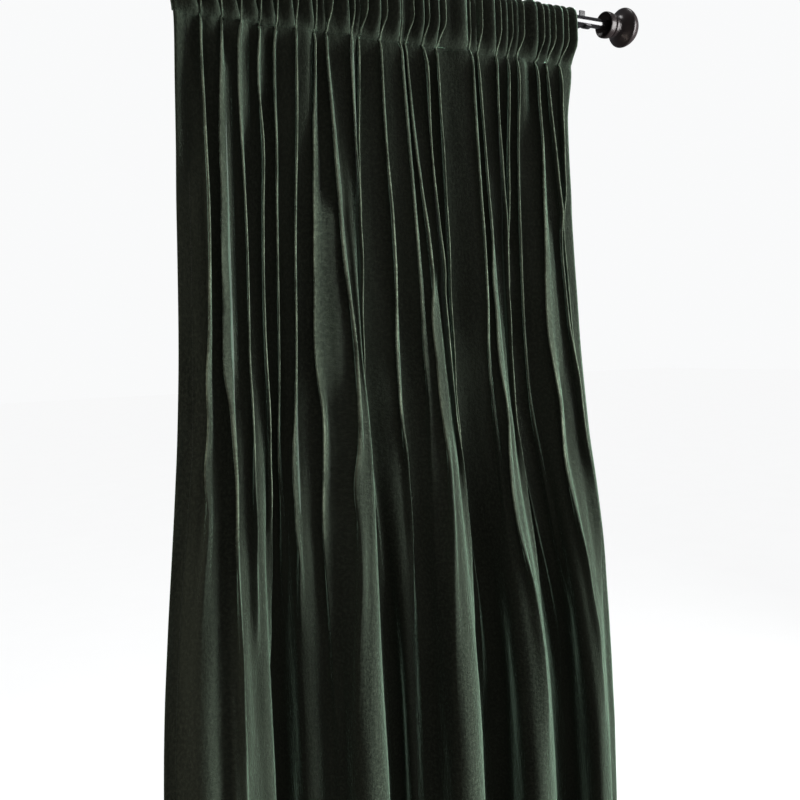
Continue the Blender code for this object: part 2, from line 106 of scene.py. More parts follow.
HIGHLIGHT_WIDTH = 0.0012           # the pile parts, with a painted highlight, this far to each side of a tuck's tip
HIGHLIGHT_IN_POCKET = 0.60         # how strongly the painted highlight shows in the pocket, against 1 below the seam

STITCH_STAND_OFF = 0.00008      # the middle of a stitch stands this much off the cloth
TUCK_STITCH_IN = 0.0022         # a tuck's stitching runs this far out from its foot
STITCH_PITCH = 0.0036
STITCH_LENGTH = 0.0027          # length of the thread that shows in a stitch
THREAD_RADIUS = 0.00022

# One row for each stitched tuck. Places are measured from the cloth's left edge:
#   place along the seam, across where its stitching ends, stitched length, depth, length over which
#   it then opens, how open it stays low down
TUCKS = (
    (0.043, 0.024, 0.64, 0.014, 0.30, 1.00),
    (0.076, 0.061, 0.72, 0.014, 0.55, 0.92),
    (0.106, 0.096, 0.64, 0.014, 0.35, 1.00),
    (0.137, 0.126, 0.71, 0.014, 0.35, 1.00),
    (0.164, 0.146, 0.64, 0.013, 0.30, 1.00),
    (0.196, 0.168, 0.75, 0.012, 0.20, 1.00),
    (0.230, 0.214, 0.74, 0.013, 0.45, 0.95),
    (0.250, 0.277, 0.66, 0.014, 0.50, 1.00),
    (0.293, 0.294, 0.59, 0.013, 0.40, 1.00),
    (0.309, 0.303, 0.59, 0.013, 0.40, 1.00),
    (0.346, 0.364, 0.59, 0.012, 0.40, 1.00),
    (0.384, 0.404, 0.46, 0.006, 0.30, 1.00),
    (0.395, 0.437, 0.62, 0.012, 0.50, 1.00),
    (0.427, 0.466, 0.62, 0.014, 0.40, 1.00),
    (0.456, 0.488, 0.70, 0.014, 0.50, 1.00),
    (0.520, 0.535, 0.50, 0.007, 0.40, 1.00),
    (0.538, 0.574, 0.76, 0.014, 0.50, 1.00),
    (0.577, 0.598, 0.62, 0.013, 0.40, 1.00),
    (0.601, 0.612, 0.67, 0.014, 0.50, 1.00),
    (0.621, 0.638, 0.59, 0.012, 0.40, 1.00),
    (0.666, 0.690, 0.70, 0.014, 0.50, 1.00),
    (0.689, 0.745, 0.63, 0.014, 0.40, 1.00),
    (0.717, 0.762, 0.69, 0.013, 0.40, 1.00),
)

# One row for each turning place of the large folds, from left to right. Places are measured from the
# cloth's left edge, at the seam, at MID_LEVEL and at LOW_LEVEL, then y at those two levels.
FOLDS = (
    (0.000, -0.014, -0.058, -0.100, -0.082),    # left edge
    (0.046, 0.028, 0.000, -0.112, -0.124),      # soft swell
    (0.060, 0.046, 0.027, -0.108, -0.113),
    (0.072, 0.058, 0.044, -0.112, -0.128),      # first fold
    (0.108, 0.098, 0.096, -0.108, -0.112),      # ledge on its flank
    (0.150, 0.134, 0.144, -0.094, -0.042),
    (0.200, 0.180, 0.186, -0.104, -0.098),
    (0.222, 0.206, 0.214, -0.102, -0.090),      # ledge before the second fold
    (0.256, 0.275, 0.268, -0.122, -0.146),      # second fold
    (0.309, 0.303, 0.370, -0.088, -0.045),
    (0.340, 0.354, 0.384, -0.100, -0.086),
    (0.352, 0.372, 0.403, -0.098, -0.082),      # ledge before the third fold
    (0.397, 0.437, 0.453, -0.118, -0.148),      # third fold
    (0.457, 0.490, 0.572, -0.094, -0.045),
    (0.537, 0.575, 0.611, -0.116, -0.142),      # fourth fold
    (0.601, 0.612, 0.732, -0.092, -0.055),
    (0.665, 0.690, 0.757, -0.114, -0.135),      # fifth fold
    (0.746, 0.771, 0.848, -0.090, -0.070),      # right edge
)

FLAT_TURN = 13.0                # the flats between stitched tucks turn this far to the left (degrees)
TUCK_LEAN = -26.0               # the stitched tucks lean this far, less than zero to the left (degrees)
TUCK_LEAN_VARIES = 18.0         # their lean varies by about this along their length (degrees)
TUCK_ROOT = 0.005               # a tuck leans in full from this height above its foot
LAID_OVER = -55.0               # lean of a tuck beside a flat that turns to the right
TURN_AT_TUCK = 0.010            # such a flat starts within this of the tuck
TURN_STEPS = 1400               # steps across the cloth in which the flats' turns are added up
LEVELLING = 0.055               # what the turns add over more than this is taken away again
LEVELLING_REACH = 0.16
LEVELLING_STEPS = 168

# Flats between tucks that turn to the right, towards the light, or, less than zero, further to the left.
# One row for each: number of the tuck at its left, where it starts and ends beyond that tuck (m), the
# levels it runs between, and its turn (degrees)
TURNED_FLATS = (
    (-1, 0.002, 0.020, -0.10, 0.28, 30.0),
    (-1, 0.022, 0.034, -0.10, 0.14, 30.0),
    (0, 0.016, 0.030, -0.10, 0.10, 32.0),
    (1, 0.002, 0.016, 0.02, 0.60, 44.0),
    (2, 0.002, 0.017, -0.10, 0.22, 48.0),
    (3, 0.002, 0.016, -0.02, 0.18, 42.0),
    (5, 0.018, 0.032, -0.10, 0.22, 42.0),
    (6, 0.002, 0.022, 0.24, 0.62, 48.0),
    (8, 0.002, 0.013, -0.10, 0.30, 44.0),
    (12, 0.002, 0.016, 0.36, 0.72, 48.0),
    (14, 0.012, 0.058, -0.10, 0.52, -27.0),
    (16, 0.002, 0.012, 0.26, 0.66, 44.0),
    (19, 0.010, 0.030, -0.10, 0.16, 40.0),
    (20, 0.002, 0.014, 0.26, 0.62, 42.0),
    (21, 0.002, 0.022, 0.22, 0.60, 44.0),
)


# ---------------------------------------------------------------- the rod, screws and finials
TOUCH_GAP = 0.0003              # left between pieces that touch
COLLAR_TOP = 0.0240
BORE_RADIUS = 0.0102            # of the collar's hole for the rod
ROD_EDGE = 0.0006               # the rod's ends are broken by this
SCREW_RIM = 0.0002              # and a screw's rim by this
RECESS_DEPTH = 0.0022           # of the cross in a screw's head, cut from a bar this deep
RECESS_WIDTH = 0.0011
RECESS_TURN = 0.4               # how far the cross is turned (radians)
# Profiles from top to bottom: radius, height above the finial's mouth for the collar and above the
# collar's top for the knob
COLLAR_OUTSIDE = (
    (0.0196, COLLAR_TOP), (0.0212, 0.0231), (0.0217, 0.0214), (0.0217, 0.0176), (0.0212, 0.0160),
    (0.0204, 0.0152), (0.0214, 0.0141), (0.0230, 0.0128), (0.0238, 0.0100), (0.0241, 0.0060),
    (0.0241, 0.0022), (0.0237, 0.0006), (0.0228, 0.0), (0.0216, 0.0004), (0.0200, 0.0030),
    (0.0150, 0.0090), (BORE_RADIUS, 0.0124),
)
KNOB_OUTSIDE = (
    (0.0, 0.0490), (0.0080, 0.0484), (0.0150, 0.0465), (0.0212, 0.0434), (0.0265, 0.0394),
    (0.0308, 0.0346), (0.0340, 0.0296), (0.0358, 0.0254), (0.0363, 0.0222), (0.0358, 0.0200),
    (0.0343, 0.0182), (0.0310, 0.0156), (0.0264, 0.0124), (0.0222, 0.0092), (0.0196, 0.0060),
    (0.0186, 0.0035), (0.0186, 0.0010), (0.0178, 0.0),
)


# ---------------------------------------------------------------- the finishes of the metal
BLACK_LACQUER = {"roughness": 0.20, "metallic": 0.55, "coat": 0.8}
DARK_BRONZE = {"roughness": 0.34, "metallic": 0.35, "coat": 0.08}

# ---------------------------------------------------------------- the stage
PALE = (0.95, 0.955, 0.96)      # of the floor and of what the camera sees beyond it
WARM = (1.0, 0.84, 0.74)
WHITE = (1.0, 1.0, 1.0)
# Each light's place, what it points at, its width and height, and its colour
WINDOW_LIGHT = ((3.0, -1.12, -0.70), (0.40, -0.09, -0.75), (1.6, 2.1), WHITE)
LOW_LIGHT = ((2.4, -1.75, -1.35), (0.40, -0.09, -1.40), (0.8, 0.9), WHITE)
LEFT_LIGHT = ((-1.2, -0.02, -0.95), (0.0, -0.09, -0.90), (0.5, 2.2), WARM)
SHINE_LIGHT = ((2.2, -1.6, -0.30), (0.85, -0.09, 0.0), (1.4, 1.9), WHITE)
LOW_LIGHT_SPREAD = 50.0         # degrees
CEILING_STRENGTH = 2.4
CEILING_ANGLE = 30.0            # degrees
FLOOR_GAP = 0.012               # the hem hangs this far above the floor
FLOOR_SIZE = 60.0


# ================================================================ settings
class CurtainClothSettings(PropertyGroup):
    """Sizes and colours of the velvet and its sewing thread."""

    thickness: FloatProperty(
        name="Thickness", description="Thickness of the velvet with its backing",
        default=0.0012, min=0.0004, max=0.004, unit="LENGTH")
    column_spacing: FloatProperty(
        name="Column Spacing", description="Distance between the mesh's columns on the flats",
        default=0.0046, min=0.002, max=0.02, unit="LENGTH")
    crumple: FloatProperty(
        name="Crumple", description="How far the soft unevenness of the cloth stands in and out",
        default=0.0012, min=0.0, max=0.004, unit="LENGTH")
    pucker: FloatProperty(
        name="Pucker", description="How far the cloth puckers along its seam",
        default=0.0011, min=0.0, max=0.004, unit="LENGTH")
    pile_colour: FloatVectorProperty(
        name="Pile", description="Colour of the velvet's pile",
        default=(0.0070, 0.0094, 0.0068), size=3, min=0.0, max=1.0, subtype="COLOR")
    # lighter pile painted on the tucks' tips: parted pile and a painted highlight; a dim share of it makes
    # the grain's flecks
    edge_highlight_colour: FloatVectorProperty(
        name="Edges", description="Colour of the pile where it parts over a folded edge",
        default=(0.085, 0.110, 0.078), size=3, min=0.0, max=1.0, subtype="COLOR")
    backing_colour: FloatVectorProperty(
        name="Backing", description="Colour of the woven cotton backing",
        default=(0.012, 0.026, 0.016), size=3, min=0.0, max=1.0, subtype="COLOR")
    thread_colour: FloatVectorProperty(
        name="Thread", description="Colour of the sewing thread",
        default=(0.006, 0.012, 0.008), size=3, min=0.0, max=1.0, subtype="COLOR")
    sheen_tint: FloatVectorProperty(
        name="Sheen Tint", description="Tint of the sheen on the tips of the pile",
        default=(0.54, 0.92, 0.68), size=3, min=0.0, max=1.0, subtype="COLOR")
    sheen_weight: FloatProperty(
        name="Sheen", description="Strength of the sheen on the pile",
        default=0.85, min=0.0, max=1.0, subtype="FACTOR")
    sheen_roughness: FloatProperty(
        name="Sheen Roughness", description="How widely the sheen spreads",
        default=0.22, min=0.0, max=1.0, subtype="FACTOR")


class CurtainStitchSettings(PropertyGroup):
    """Sizes of the stitches."""

    pitch: FloatProperty(
        name="Pitch", description="Distance from one stitch to the next",
        default=STITCH_PITCH, min=0.001, max=0.02, unit="LENGTH")
    length: FloatProperty(
        name="Length", description="Length of the thread that shows in a stitch",
        default=STITCH_LENGTH, min=0.0005, max=0.02, unit="LENGTH")
    radius: FloatProperty(
        name="Radius", description="Radius of the thread",
        default=THREAD_RADIUS, min=0.0001, max=0.001, unit="LENGTH")
    seed: IntProperty(name="Seed", description="Seed of the stitches' small unevenness", default=7, min=0)


class CurtainMetalSettings(PropertyGroup):
    """Colours and fineness of the rod, finials and brackets."""

    rod_colour: FloatVectorProperty(
        name="Rod", description="Colour of the rod and brackets",
        default=(0.010, 0.010, 0.011), size=3, min=0.0, max=1.0, subtype="COLOR")
    finial_colour: FloatVectorProperty(
        name="Finials", description="Colour of the finials",
        default=(0.013, 0.010, 0.010), size=3, min=0.0, max=1.0, subtype="COLOR")
    round_steps: IntProperty(
        name="Round Steps", description="Facets round the turned pieces", default=96, min=24, max=256)


class CurtainStageSettings(PropertyGroup):
    """Camera, floor and lights."""

    camera_place: FloatVectorProperty(
        name="Camera", description="Where the camera stands",
        default=(-0.4575, -1.5654, -0.5773), size=3, subtype="TRANSLATION", unit="LENGTH")
    camera_turn: FloatProperty(
        name="Turn", description="How far the camera looks to the right of the wall's own direction",
        default=math.radians(30.0), subtype="ANGLE", unit="ROTATION")
    camera_tilt: FloatProperty(
        name="Tilt", description="How far the camera looks down",
        default=math.radians(3.47), subtype="ANGLE", unit="ROTATION")
    camera_roll: FloatProperty(
        name="Roll", description="How far the camera is rolled clockwise",
        default=math.radians(1.72), subtype="ANGLE", unit="ROTATION")
    lens: FloatProperty(
        name="Lens", description="Focal length in millimetres on a 36 mm sensor",
        default=45.45, min=10.0, max=200.0)
    key_power: FloatProperty(
        name="Key", description="Power of the window light at the right, in watts",
        default=690.0, min=0.0, max=5000.0)
    low_power: FloatProperty(
        name="Low Light", description="Power of the light on the flanks of the large folds, in watts",
        default=14.0, min=0.0, max=1000.0)
    left_power: FloatProperty(
        name="Left Light", description="Power of the weak warm light at the left, in watts",
        default=26.0, min=0.0, max=500.0)
    shine_power: FloatProperty(
        name="Shine", description="Power of the light that only the metal mirrors, in watts",
        default=150.0, min=0.0, max=1000.0)
    floor_colour: FloatVectorProperty(
        name="Floor", description="Colour of the floor",
        default=(0.12, 0.13, 0.13), size=3, min=0.0, max=1.0, subtype="COLOR")


class CurtainSettings(PropertyGroup):
    """All settings of the curtain."""

    cloth: PointerProperty(type=CurtainClothSettings)
    stitch: PointerProperty(type=CurtainStitchSettings)
    metal: PointerProperty(type=CurtainMetalSettings)
    stage: PointerProperty(type=CurtainStageSettings)


# ================================================================ helpers
def ease(value):
    """Smooth step from 0 to 1."""
    value = np.clip(value, 0.0, 1.0)
    return value * value * (3.0 - 2.0 * value)


def link_object(name, mesh, *materials):
    piece = bpy.data.objects.new(name, mesh)
    mesh.materials.clear()
    for material in materials:
        mesh.materials.append(material)
    bpy.context.scene.collection.objects.link(piece)
    return piece


def made_plain(piece):
    """The piece with its modifiers worked into its mesh."""
    bpy.context.view_layer.update()
    graph = bpy.context.evaluated_depsgraph_get()
    mesh = bpy.data.meshes.new_from_object(piece.evaluated_get(graph), depsgraph=graph)
    piece.modifiers.clear()
    old = piece.data
    piece.data = mesh
    if isinstance(old, bpy.types.Mesh) and old.users == 0:
        bpy.data.meshes.remove(old)
    mesh.name = piece.name
    return piece


# ================================================================ materials
class Nodes:
    """A material's node tree, with short ways to add and join its nodes."""

    def __init__(self, name):
        self.material = bpy.data.materials.new(name)
        self.material.use_nodes = True
        self.tree = self.material.node_tree
        self.shader = self.tree.nodes["Principled BSDF"]

    def add(self, kind, **settings):
        node = self.tree.nodes.new(kind)
        for key, value in settings.items():
            setattr(node, key, value)
        return node

    def join(self, source, target):
        self.tree.links.new(source, target)

    def constants(self, **values):
        for key, value in values.items():
            self.shader.inputs[key.replace("_", " ")].default_value = value

    def coordinates(self, scale=(1.0, 1.0, 1.0), output="Object"):
        source = self.add("ShaderNodeTexCoord")
        mapping = self.add("ShaderNodeMapping")
        mapping.inputs["Scale"].default_value = scale
        self.join(source.outputs[output], mapping.inputs["Vector"])
        return mapping.outputs["Vector"]

    def noise(self, vector, scale, detail=3.0, roughness=0.55):
        node = self.add("ShaderNodeTexNoise")
        node.inputs["Scale"].default_value = scale
        node.inputs["Detail"].default_value = detail
        node.inputs["Roughness"].default_value = roughness
        self.join(vector, node.inputs["Vector"])
        return node.outputs["Fac"]

    def remap(self, value, low, high, to_low=0.0, to_high=1.0):
        node = self.add("ShaderNodeMapRange")
        for key, number in (("From Min", low), ("From Max", high), ("To Min", to_low), ("To Max", to_high)):
            node.inputs[key].default_value = number
        self.join(value, node.inputs["Value"])
        return node.outputs["Result"]

    def mix_colour(self, share, first, second):
        node = self.add("ShaderNodeMix", data_type="RGBA")
        self.join(share, node.inputs["Factor"])
        for colour, socket in ((first, node.inputs[6]), (second, node.inputs[7])):
            if isinstance(colour, bpy.types.NodeSocket):
                self.join(colour, socket)
            else:
                socket.default_value = (*colour[:3], 1.0)
        return node.outputs[2]

    def maths(self, operation, first, second):
        node = self.add("ShaderNodeMath", operation=operation)
        for value, socket in ((first, node.inputs[0]), (second, node.inputs[1])):
            if isinstance(value, bpy.types.NodeSocket):
                self.join(value, socket)
            else:
                socket.default_value = value
        return node.outputs[0]

    def bump(self, height, distance, strength=1.0):
        node = self.add("ShaderNodeBump")
        node.inputs["Distance"].default_value = distance
        node.inputs["Strength"].default_value = strength
        self.join(height, node.inputs["Height"])
        self.join(node.outputs["Normal"], self.shader.inputs["Normal"])

    def attribute(self, name):
        return self.add("ShaderNodeAttribute", attribute_name=name).outputs["Fac"]


def scaled_colour(colour, factor):
    return tuple(min(1.0, part * factor) for part in colour[:3])


def velvet_material(cloth):
    """Cotton velvet: dark pile with patches brushed lighter, a soft grain, and parted pile with a painted
    highlight on the tucks' folded edges.
    """
    nodes = Nodes("green_velvet")
    patches = nodes.noise(nodes.coordinates((1.0, 0.25, 1.0), "UV"), 9.0, 3.0)
    grain = nodes.noise(nodes.coordinates((1.0, 0.7, 1.0), "UV"), 240.0, 4.0, 0.70)
    rows = nodes.noise(nodes.coordinates((1.0, 0.10, 1.0), "UV"), 260.0, 2.0)
    pile = nodes.mix_colour(nodes.remap(patches, 0.35, 0.70), scaled_colour(cloth.pile_colour, 0.80),
                            scaled_colour(cloth.pile_colour, 1.30))
    speckle = nodes.remap(grain, 0.44, 0.66, 0.0, 0.36)
    pile = nodes.mix_colour(speckle, pile, scaled_colour(cloth.edge_highlight_colour, 0.28))
    # painted highlight, with parted pile, on the tucks' folded edges, varied along them by noise and grain
    highlight_variation = nodes.noise(nodes.coordinates((1.0, 0.3, 1.0), "UV"), 55.0, 3.0, 0.6)
    lightened = nodes.maths("MULTIPLY", nodes.attribute("folded_edge"),
                       nodes.remap(highlight_variation, 0.32, 0.62, 0.15, 1.0))
    lightened = nodes.maths("MULTIPLY", lightened, nodes.remap(grain, 0.30, 0.65, 0.35, 1.0))
    pile = nodes.mix_colour(lightened, pile, cloth.edge_highlight_colour)
    nodes.join(pile, nodes.shader.inputs["Base Color"])
    nodes.join(nodes.remap(grain, 0.3, 0.7, 0.80, 0.98), nodes.shader.inputs["Roughness"])
    relief = nodes.maths("ADD", nodes.maths("MULTIPLY", grain, 0.75), nodes.maths("MULTIPLY", rows, 0.25))
    nodes.bump(relief, 0.0024, 1.0)
    nodes.constants(Specular_IOR_Level=0.03, Sheen_Weight=cloth.sheen_weight,
                    Sheen_Roughness=cloth.sheen_roughness, Sheen_Tint=(*cloth.sheen_tint, 1.0))
    return nodes.material


def backing_material(cloth):
    """The velvet's plain woven cotton back."""
    nodes = Nodes("cotton_backing")
    flat = nodes.coordinates(output="UV")
    weave = nodes.add("ShaderNodeTexBrick", offset=0.5)
    nodes.join(flat, weave.inputs["Vector"])
    for key, value in (("Scale", 1.0), ("Brick Width", 0.0016), ("Row Height", 0.0008),
                       ("Mortar Size", 0.0001), ("Mortar Smooth", 1.0)):
        weave.inputs[key].default_value = value
    slub = nodes.noise(nodes.coordinates((1.0, 8.0, 1.0), "UV"), 60.0)
    shade = nodes.mix_colour(nodes.remap(slub, 0.35, 0.70), scaled_colour(cloth.backing_colour, 0.75),
                             scaled_colour(cloth.backing_colour, 1.35))
    shade = nodes.mix_colour(weave.outputs["Fac"], shade, scaled_colour(cloth.backing_colour, 0.45))
    nodes.join(shade, nodes.shader.inputs["Base Color"])
    nodes.join(nodes.remap(slub, 0.3, 0.7, 0.80, 0.95), nodes.shader.inputs["Roughness"])
    nodes.bump(nodes.maths("SUBTRACT", 1.0, weave.outputs["Fac"]), 0.0002, 0.8)
    nodes.constants(Specular_IOR_Level=0.2, Sheen_Weight=0.08, Sheen_Roughness=0.5)
    return nodes.material


def thread_material(cloth):
    """Twisted sewing thread with a slight gloss."""
    nodes = Nodes("sewing_thread")
    twist = nodes.add("ShaderNodeTexWave", wave_type="BANDS", bands_direction="DIAGONAL")
    twist.inputs["Scale"].default_value = 900.0
    nodes.join(nodes.coordinates(), twist.inputs["Vector"])
    shade = nodes.mix_colour(twist.outputs["Fac"], scaled_colour(cloth.thread_colour, 0.7),
                             scaled_colour(cloth.thread_colour, 1.4))
    nodes.join(shade, nodes.shader.inputs["Base Color"])
    nodes.join(nodes.remap(twist.outputs["Fac"], 0.0, 1.0, 0.45, 0.62), nodes.shader.inputs["Roughness"])
    nodes.bump(twist.outputs["Fac"], 0.00008, 0.5)
    nodes.constants(Specular_IOR_Level=0.25)
    return nodes.material


def lacquered_metal(name, colour, roughness, metallic, coat):
    """Polished metal under lacquer, with faint smears and a few fine scuffs."""
    nodes = Nodes(name)
    place = nodes.coordinates()
    smears = nodes.noise(place, 45.0, 4.0)
    scuffs = nodes.noise(nodes.coordinates((1.0, 9.0, 9.0)), 260.0, 3.0, 0.7)
    lightened = nodes.remap(scuffs, 0.62, 0.80)
    shade = nodes.mix_colour(nodes.remap(smears, 0.3, 0.7), scaled_colour(colour, 0.90),
                             scaled_colour(colour, 1.12))
    shade = nodes.mix_colour(nodes.maths("MULTIPLY", lightened, 0.10), shade, scaled_colour(colour, 4.0))
    nodes.join(shade, nodes.shader.inputs["Base Color"])
    smooth = nodes.remap(smears, 0.3, 0.7, roughness * 0.92, roughness * 1.12)
    nodes.join(nodes.maths("ADD", smooth, nodes.maths("MULTIPLY", lightened, 0.04)),
               nodes.shader.inputs["Roughness"])
    nodes.bump(scuffs, 0.00003, 0.04)
    nodes.constants(Metallic=metallic, Coat_Weight=coat, Coat_Roughness=0.12, Specular_IOR_Level=0.32)
    return nodes.material


# ================================================================ the cloth's shape
class Tucks:
    """The tuck table as arrays, with each tuck's place in the flat cloth."""

    def __init__(self):
        table = np.array(TUCKS, float)
        self.at_seam, self.at_end, self.length, self.depth, self.release, self.opens_to = table.T
        self.half = self.depth + TUCK_TIP / 2
        taken = 2 * self.half - LAYER_PITCH
        self.flat_centre = self.at_seam + np.cumsum(taken) - taken / 2
        self.flat_width = SEAM_WIDTH + taken.sum()
        self.flat_starts = np.concatenate([[0.0], self.flat_centre + self.half])
        self.flat_ends = np.concatenate([self.flat_centre - self.half, [self.flat_width]])

    def flat_place(self, at_seam):
        """Place in the flat cloth of a place along the seam."""
        seam = np.concatenate([[0.0], np.ravel(np.column_stack(
            [self.at_seam - LAYER_PITCH / 2, self.at_seam + LAYER_PITCH / 2])), [SEAM_WIDTH]])
        flat = np.concatenate([[0.0], np.ravel(np.column_stack(
            [self.flat_centre - self.half, self.flat_centre + self.half])), [self.flat_width]])
        return np.interp(at_seam, seam, flat)


class Columns:
    """The mesh's columns: flat-cloth place, tuck number (-1 on a flat) and place within the tuck."""

    def __init__(self, tucks, spacing):
        tip_turn = math.pi / 4 * LAYER_PITCH
        rows = []
        for number in range(len(TUCKS) + 1):
            start, end = tucks.flat_starts[number], tucks.flat_ends[number]
            count = max(2, round((end - start) / spacing))
            inner = np.linspace(start, end, count + 1)
            inner = inner[0 if number == 0 else 1:None if number == len(TUCKS) else -1]
            rows += [(place, -1, 0.0) for place in inner]
            if number < len(TUCKS):
                half = tucks.half[number]
                sides = (1.0, 0.55, tip_turn / half, 0.45 * tip_turn / half)
                within = [-side for side in sides] + [0.0] + list(sides[::-1])
                rows += [(tucks.flat_centre[number] + side * half, number, side) for side in within]
        table = np.array(rows)
        self.flat = table[:, 0]
        self.tuck = table[:, 1].astype(int)
        self.within = table[:, 2]
        self.in_tuck = self.tuck >= 0


class Ripples:
    """Soft unevenness: a few long waves of mixed size and direction, the same on every run."""

    def __init__(self, seed, across, down, count=7):
        chance = np.random.default_rng(seed)
        self.across = 2 * math.pi / (across * chance.uniform(0.7, 1.6, count))
        self.down = 2 * math.pi / (down * chance.uniform(0.7, 1.8, count)) * chance.choice((-1.0, 1.0), count)
        self.start = chance.uniform(0.0, 2 * math.pi, count)

    def at(self, across, down):
        across = np.asarray(across, float)[..., None]
        down = np.asarray(down, float)[..., None]
        waves = np.sin(across * self.across + down * self.down + self.start)
        return waves.mean(axis=-1) * math.sqrt(len(self.start) / 2)


def wave_angle(rise_over_run):
    """Largest slope angle of a half wave whose heading swings as a sine, from its rise over its run."""
    swing = np.sin(np.linspace(0.0, math.pi, 41))
    low, high = 0.0, 1.9
    for _ in range(30):
        angle = (low + high) / 2
        if np.sin(angle * swing).mean() < rise_over_run * np.cos(angle * swing).mean():
            low = angle
        else:
            high = angle
    return angle


def half_wave(start, end, share):
    """Points and headings at the given shares along a rounded half wave from start to end."""
    run = end[0] - start[0]
    rise = end[1] - start[1]
    angle = math.copysign(wave_angle(abs(rise) / run), rise)
    fine = np.linspace(0.0, 1.0, 81)
    heading = angle * np.sin(math.pi * fine)
    along = np.concatenate([[0.0], np.cumsum((np.cos(heading[1:]) + np.cos(heading[:-1])) / 2)])
    out = np.concatenate([[0.0], np.cumsum((np.sin(heading[1:]) + np.sin(heading[:-1])) / 2)])
    x = start[0] + run * np.interp(share, fine, along / along[-1])
    y = start[1] + (rise * np.interp(share, fine, out / out[-1]) if rise else 0.0 * share)
    return x, y, angle * np.sin(math.pi * share)


def smooth_between(levels, values, level):
    """Smooth curve through one value at each level; values may be rows of numbers."""
    values = np.asarray(values, float)
    steps = np.diff(levels)
    slopes = np.diff(values, axis=0) / steps.reshape(-1, *[1] * (values.ndim - 1))
    tangents = np.concatenate([slopes[:1], (slopes[1:] + slopes[:-1]) / 2, 0.5 * slopes[-1:]])
    number = min(max(int(np.searchsorted(levels, level)) - 1, 0), len(steps) - 1)
    step = steps[number]
    part = (level - levels[number]) / step
    return ((1 + 2 * part) * (1 - part) ** 2 * values[number]
            + part * (1 - part) ** 2 * step * tangents[number]
            + part ** 2 * (3 - 2 * part) * values[number + 1]
            + part ** 2 * (part - 1) * step * tangents[number + 1])


def fold_places(below_seam):
    """Where the large folds turn at this level: places across and y."""
    at_seam, across_mid, across_low, y_mid, y_low = np.array(FOLDS).T
    levels = (0.0, MID_LEVEL, LOW_LEVEL, HEM_BELOW_SEAM)
    across = smooth_between(levels, (at_seam, across_mid, across_low, across_low), below_seam)
    y = smooth_between(levels, (np.full(len(FOLDS), SEAM_Y), y_mid, y_low, y_low), below_seam)
    turn = EDGE_TURN * ease(below_seam / EDGE_TURN_LEVEL)
    turn *= 1.0 - ease((below_seam - EDGE_TURN_LEVEL) / (MID_LEVEL - EDGE_TURN_LEVEL))
    across[-1] += EDGE_SWELL * math.exp(-((below_seam - EDGE_SWELL_LEVEL) / EDGE_SWELL_REACH) ** 2) - turn
    y[-1] += turn
    return across, y


def opening(tucks, below_seam):
    """How far each tuck has opened at this level, 0 stitched shut to 1 flat."""
    return tucks.opens_to * ease((below_seam - tucks.length) / tucks.release) ** OPENING_POWER


def half_bases(tucks, opened):
    """Half of the base that each tuck takes up, opened by its share."""
    return (1 - opened) * LAYER_PITCH / 2 + opened * tucks.half


